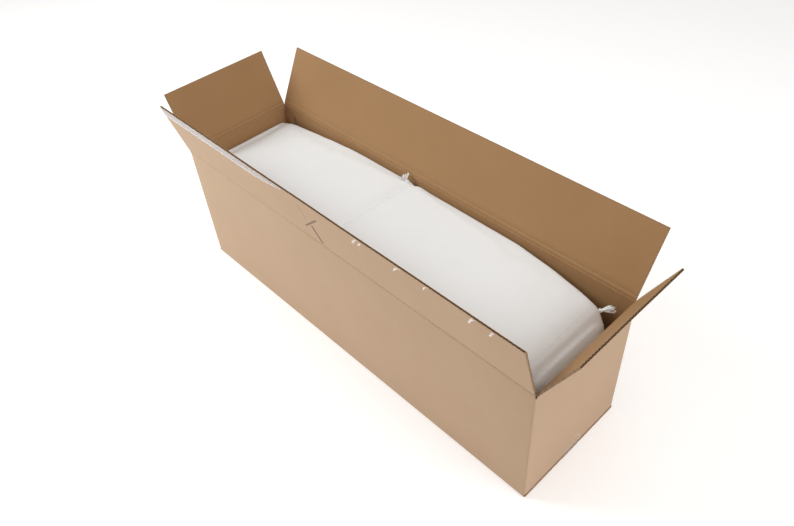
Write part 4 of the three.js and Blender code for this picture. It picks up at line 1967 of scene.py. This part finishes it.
    def contain(self, made: bpy.types.Object) -> None:
        """Keeps the sack off the walls, the floor, the glued tab and the closed lid's level.

        Args:
            made: the sack.
        """
        places = self.read(made)
        low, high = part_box("glue_tab")
        beside = places[:, 0] < high.x + 6 * MM
        half = np.where(beside, low.y - 0.3 * MM, self.wall)
        places[:, 1] = np.minimum(places[:, 1], half)
        places[:, 1] = np.maximum(places[:, 1], -self.wall)
        places[:, 2] = np.clip(places[:, 2], self.low.z - 0.8 * MM, self.high.z - 0.3 * MM)
        places[:, 0] = np.clip(places[:, 0], self.low.x - 1.2 * MM, self.high.x + 2 * MM)
        self.write(made, places)

    def build(self) -> bpy.types.Object:
        """Builds the sack.

        Returns:
            The sack.
        """
        made = self.core()
        self.write(made, self.press(self.read(made), 1.0))
        self.swell(made)
        smooth = made.modifiers.new("relax", "SMOOTH")
        smooth.factor = 0.5
        smooth.iterations = 2
        finer = made.modifiers.new("finer", "SUBSURF")
        finer.levels = finer.render_levels = 1
        self.apply(made)
        self.wrinkle(made)
        self.contain(made)
        self.clear(made)
        made.data.materials.clear()
        made.data.materials.append(self.finishes.sack)
        tidy_mesh(made.data)
        self.skin = BVHTree.FromPolygons(
            [v.co.copy() for v in made.data.vertices], [p.vertices[:] for p in made.data.polygons]
        )
        LOG.info("sack_filled: %d faces", len(made.data.polygons))
        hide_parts("sack")
        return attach(made, "mattress")


@dataclass
class Ties:
    """The two ties of bunched film round the sack, with their knots and frayed tails."""

    finishes: Finishes
    sack: Sack
    strands: Graph
    width: float = 7.0 * MM

    def strand(self, points: Sequence[Vector], radius: float, **more: Any) -> bpy.types.Mesh:
        """A strand along a line of points.

        Args:
            points: the line.
            radius: the strand's half width.
            **more: flatness, crumple, twist, seed and whether it is closed.

        Returns:
            The strand's mesh.
        """
        curve = bpy.data.curves.new("path", "CURVE")
        curve.dimensions = "3D"
        spline = curve.splines.new("POLY")
        spline.points.add(len(points) - 1)
        for place, point in zip(spline.points, points):
            place.co = (*point, 1.0)
        spline.use_cyclic_u = more.get("closed", False)
        values = {
            "Radius": radius,
            "Flatness": more.get("flatness", 0.5),
            "Crumple": more.get("crumple", 1.0 * MM),
            "Twist": more.get("twist", 160.0),
            "Spacing": more.get("spacing", 2.5 * MM),
            "Seed": more.get("seed", 1.0),
            "Film": self.finishes.tie,
        }
        return self.strands.run(values, curve)

    def loop(self, node: str, top: Callable[[float], tuple[float, float]], share: float) -> bpy.types.Object:
        """One tie round the sack.

        Args:
            node: its CAD node.
            top: for a place across the carton, its place along X and how far it is pressed in.
            share: where it lies, as a share of the sack's length.

        Returns:
            The tie.
        """
        points: list[Vector] = []
        ring = self.sack.ring(share, 0.2 * MM)
        dense: list[Point2] = []
        for a, b in zip(ring, ring[1:] + ring[:1]):
            steps = max(1, int(math.dist(a, b) / (4 * MM)))
            for step in range(steps):
                y = a[0] + (b[0] - a[0]) * step / steps
                dense.append((y, a[1] + (b[1] - a[1]) * step / steps))
        half, high, low, _ = self.sack.at(share)
        for y, z in dense:
            x, depth = top(y)
            over = min(1.0, max(0.0, (z - (high + low) / 2) / ((high - low) / 2)) * 1.5)
            side = min(1.0, abs(y) / half) ** 8
            points.append(Vector((x, y * (1.0 - 0.35 * depth * side / half), z - depth * over)))
        shape = Shape()
        self.band(shape, points)
        made = shape.build(f"{node}_film", [self.finishes.band])
        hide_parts(node)
        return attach(made, "mattress")

    def band(self, shape: Shape, line: Sequence[Vector]) -> None:
        """Adds a closed flat band of film that lies on the sack along a line.

        Args:
            shape: what it is added to.
            line: the closed line.
        """
        rows = 7
        skin = self.sack.skin
        places: list[Vector] = []
        for lift in (0.32 * MM, 0.12 * MM):
            for number, middle in enumerate(line):
                wide = self.width * (1.0 + 0.3 * noise.noise(Vector((number * 0.35, 2.0, 0.0))))
                for row in range(rows):
                    aim = middle + Vector(((row / (rows - 1) - 0.5) * wide, 0.0, 0.0))
                    hit, normal, _, _ = skin.find_nearest(aim)
                    places.append(hit + normal * lift)
        count = len(line)
        under = rows * count
        faces: list[tuple[int, ...]] = []
        for k in range(count):
            a, b = k * rows, (k + 1) % count * rows
            for r in range(rows - 1):
                faces.append((a + r, a + r + 1, b + r + 1, b + r))
                faces.append((under + a + r, under + b + r, under + b + r + 1, under + a + r + 1))
            faces.append((a, b, under + b, under + a))
            faces.append((a + rows - 1, under + a + rows - 1, under + b + rows - 1, b + rows - 1))
        shape.add(places, faces, 0)

    def leaf(self, shape: Shape, root: Vector, aim: Vector, length: float, picker: random.Random) -> None:
        """Adds one crumpled leaf of film, narrow at its root.

        Args:
            shape: what it is added to.
            root: where it starts.
            aim: its direction.
            length: its length.
            picker: its random numbers.
        """
        other = Vector((picker.uniform(-1, 1), picker.uniform(-1, 1), picker.uniform(-1, 1)))
        side = aim.cross(other).normalized()
        up = side.cross(aim)
        curl = picker.uniform(-0.35, 0.35)
        phase = picker.uniform(0.0, math.tau)
        wide = length * picker.uniform(0.3, 0.45)
        columns, rows = 9, 8
        places: list[Vector] = []
        for lift in (0.2 * MM, -0.2 * MM):
            for c in range(columns):
                u = c / (columns - 1)
                for r in range(rows):
                    v = r / (rows - 1) - 0.5
                    fold = math.sin(v * 11.0 + phase + 2.0 * u) * 0.09 * length * (0.2 + u)
                    torn = 1.0 + 0.14 * math.sin(v * 17.0 + phase) * u
                    spot = root + aim * (length * u * torn) + side * (wide * v * (0.3 + 0.8 * u))
                    places.append(spot + up * (fold + curl * length * u * u + lift))
        shape.add(places, sheet_faces(rows, columns), 0)

    def knot(self, node: str, root: Vector, aim: Vector, length: float, seed: int) -> bpy.types.Object:
        """A small tight knot with a tuft of crumpled film.

        Args:
            node: its CAD node.
            root: the knot's middle.
            aim: where the tuft points.
            length: the tuft's length.
            seed: fixes the knot's own irregularity.

        Returns:
            The knot.
        """
        picker = random.Random(seed)
        shape = Shape()
        path = []
        for t in spread(0.0, math.tau, 33)[:-1]:
            radius = (2.4 + 1.0 * math.cos(3 * t)) * MM
            rise = 1.4 * MM * math.sin(3 * t)
            path.append(root + Vector((radius * math.cos(2 * t), radius * math.sin(2 * t), rise)))
        look = {"flatness": 0.6, "crumple": 0.5 * MM, "twist": 200.0, "spacing": 1.2 * MM}
        mesh = self.strand(path, 1.7 * MM, closed=True, **look)
        shape.add_mesh(mesh, lambda p: p.copy(), 0)
        main = aim.normalized()
        for _ in range(9):
            lean = Vector((picker.uniform(-1, 1), picker.uniform(-1, 1), picker.uniform(-1, 1))) * 0.27
            self.leaf(shape, root, (main + lean).normalized(), length * picker.uniform(0.6, 1.0), picker)
        made = shape.build(f"{node}_film", [self.finishes.tie])
        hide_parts(node)
        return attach(made, "mattress")

    def build(self) -> None:
        """Builds both ties and both knots."""
        sack = self.sack
        self.loop("waist_tie", lambda y: (sack.groove(y)[0], sack.groove(y)[1] * 0.95), 0.466)
        self.loop("end_tie", lambda y: (sack.tail, 1.2 * MM), 0.953)
        low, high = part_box("waist_knot")
        root = sack.skin.find_nearest(Vector(((low.x + high.x) / 2 + 4 * MM, low.y, high.z)))[0]
        aim = Vector((-0.8, 0.05, 0.9))
        waist = self.knot("waist_knot", root + Vector((0.0, 0.0, 2 * MM)), aim, 16 * MM, 3)
        low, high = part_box("end_knot")
        corner = sack.skin.find_nearest(Vector((low.x + 14 * MM, low.y + 6 * MM, low.z)))[0]
        self.knot("end_knot", corner + Vector((1.5, 1.5, 0.5)) * MM, Vector((1.0, 0.65, 0.5)), 25 * MM, 8)
        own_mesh(waist)


def dress_inner_layers(finishes: Finishes) -> None:
    """Gives every CAD node that stays its own finish.

    Args:
        finishes: the materials.
    """
    plan = {
        "bottom_tape": (finishes.base_tape, "clear_tape"),
        "vacuum_film": (finishes.film, "clear_film"),
        "cover_base_panel": (finishes.cover, "cover_fabric"),
        "cover_top_panel": (finishes.cover, "cover_fabric"),
        "cover_left_border": (finishes.border, "cover_fabric"),
        "cover_right_border": (finishes.border, "cover_fabric"),
        "cover_foot_border": (finishes.border, "cover_fabric"),
        "cover_head_border": (finishes.border, "cover_fabric"),
        "core_sleeve": (finishes.sleeve, "sleeve_fabric"),
        "memory_foam": (finishes.memory, "memory_foam"),
        "support_foam": (finishes.support, "support_foam"),
        "cover_zip": (finishes.zip, "zip_nylon"),
        "zip_slider": (finishes.metal, "zip_metal"),
        "zip_pull": (finishes.metal, "zip_metal"),
        "care_label": (finishes.label, "label_satin"),
    }
    for name, (material, slot) in plan.items():
        node = frame["nodes"][name]
        if node.material_slots:
            for place in node.material_slots:
                place.material = material
        else:
            node.data.materials.append(material)
        LOG.info("%s: dressed", name)


# ---- studio -----------------------------------------------------------------


@dataclass
class Studio:
    """Camera, floor and soft light."""

    lens: float = 32.384
    sensor: float = 36.0
    position: Vector = field(default_factory=lambda: Vector((0.8813, -0.7181, 1.2464)))
    right: Vector = field(default_factory=lambda: Vector((0.69073, 0.72044, -0.06213)))
    up: Vector = field(default_factory=lambda: Vector((-0.46426, 0.50769, 0.72575)))
    forward: Vector = field(default_factory=lambda: Vector((-0.55441, 0.47245, -0.68514)))

    def build_camera(self) -> None:
        """Places the camera."""
        data = bpy.data.cameras.new("camera")
        data.lens = self.lens
        data.sensor_width = self.sensor
        data.clip_start = 0.05
        data.clip_end = 60.0
        camera = bpy.data.objects.new("camera", data)
        turn = Matrix((self.right, self.up, -self.forward)).transposed().to_4x4()
        camera.matrix_world = Matrix.Translation(self.position) @ turn
        bpy.context.scene.collection.objects.link(camera)
        bpy.context.scene.camera = camera

    def build_floor(self) -> None:
        """Lays a wide pale floor."""
        shape = Shape()
        corners = [Vector((x, y, 0.0)) for x, y in ((-14, -14), (14, -14), (14, 14), (-14, 14))]
        shape.add(corners, [(0, 1, 2, 3)], 0)
        shader = Shader("floor_paper")
        grain = shader.cloud(shader.place(), 3.0, 2.0, 0.5)
        white = shader.mix(grain, (0.90, 0.90, 0.905, 1.0), (0.915, 0.915, 0.92, 1.0))
        paper = shader.finish(
            {
                "Base Color": white,
                "Roughness": 0.9,
                "Emission Color": (1.0, 1.0, 1.0, 1.0),
                "Emission Strength": 0.30,
                "Specular IOR Level": 0.1,
            }
        )
        floor = shape.build("floor", [paper])

    def light(self, name: str, place: Point2, height: float, size: float, power: float, tint: Colour) -> None:
        """Hangs one soft light aimed at the carton.

        Args:
            name: the light's name.
            place: where it hangs, seen from above.
            height: how high.
            size: the side of its square.
            power: watts.
            tint: its colour.
        """
        data = bpy.data.lights.new(name, "AREA")
        data.size = size
        data.energy = power
        data.color = tint[:3]
        lamp = bpy.data.objects.new(name, data)
        lamp.location = (*place, height)
        aim = Vector((0.0, 0.0, 0.15)) - lamp.location
        lamp.rotation_mode = "QUATERNION"
        lamp.rotation_quaternion = aim.to_track_quat("-Z", "Y")
        bpy.context.scene.collection.objects.link(lamp)

    def build_light(self) -> None:
        """Lights the scene: a pale surround, a key from the upper left and a fill."""
        scene = bpy.context.scene
        world = bpy.data.worlds.new("surround")
        world.use_nodes = True
        sky = world.node_tree.nodes["Background"]
        sky.inputs["Color"].default_value = (1.0, 0.945, 0.885, 1.0)
        sky.inputs["Strength"].default_value = 0.42
        scene.world = world
        scene.view_settings.view_transform = "Standard"
        self.light("key", (-1.8, -1.25), 1.9, 1.2, 42.0, (0.92, 0.97, 1.0, 1.0))
        self.light("fill", (2.6, 0.5), 2.2, 1.6, 28.0, (0.97, 0.98, 1.0, 1.0))
        self.light("top", (0.6, 0.2), 2.6, 1.4, 13.0, (1.0, 0.99, 0.97, 1.0))


def main() -> None:
    """Builds the studio and the object, in order."""
    logging.basicConfig(level=logging.INFO, format="%(name)s %(message)s")
    studio = Studio()
    studio.build_camera()
    studio.build_floor()
    studio.build_light()
    finishes = Finishes()
    lids = Carton(finishes, flutes_graph()).build()
    Tape(finishes, lids[0]).build()
    sack = Sack(finishes)
    sack.build()
    Ties(finishes, sack, strand_graph()).build()
    dress_inner_layers(finishes)
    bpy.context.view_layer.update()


if __name__ == "__main__":
    main()
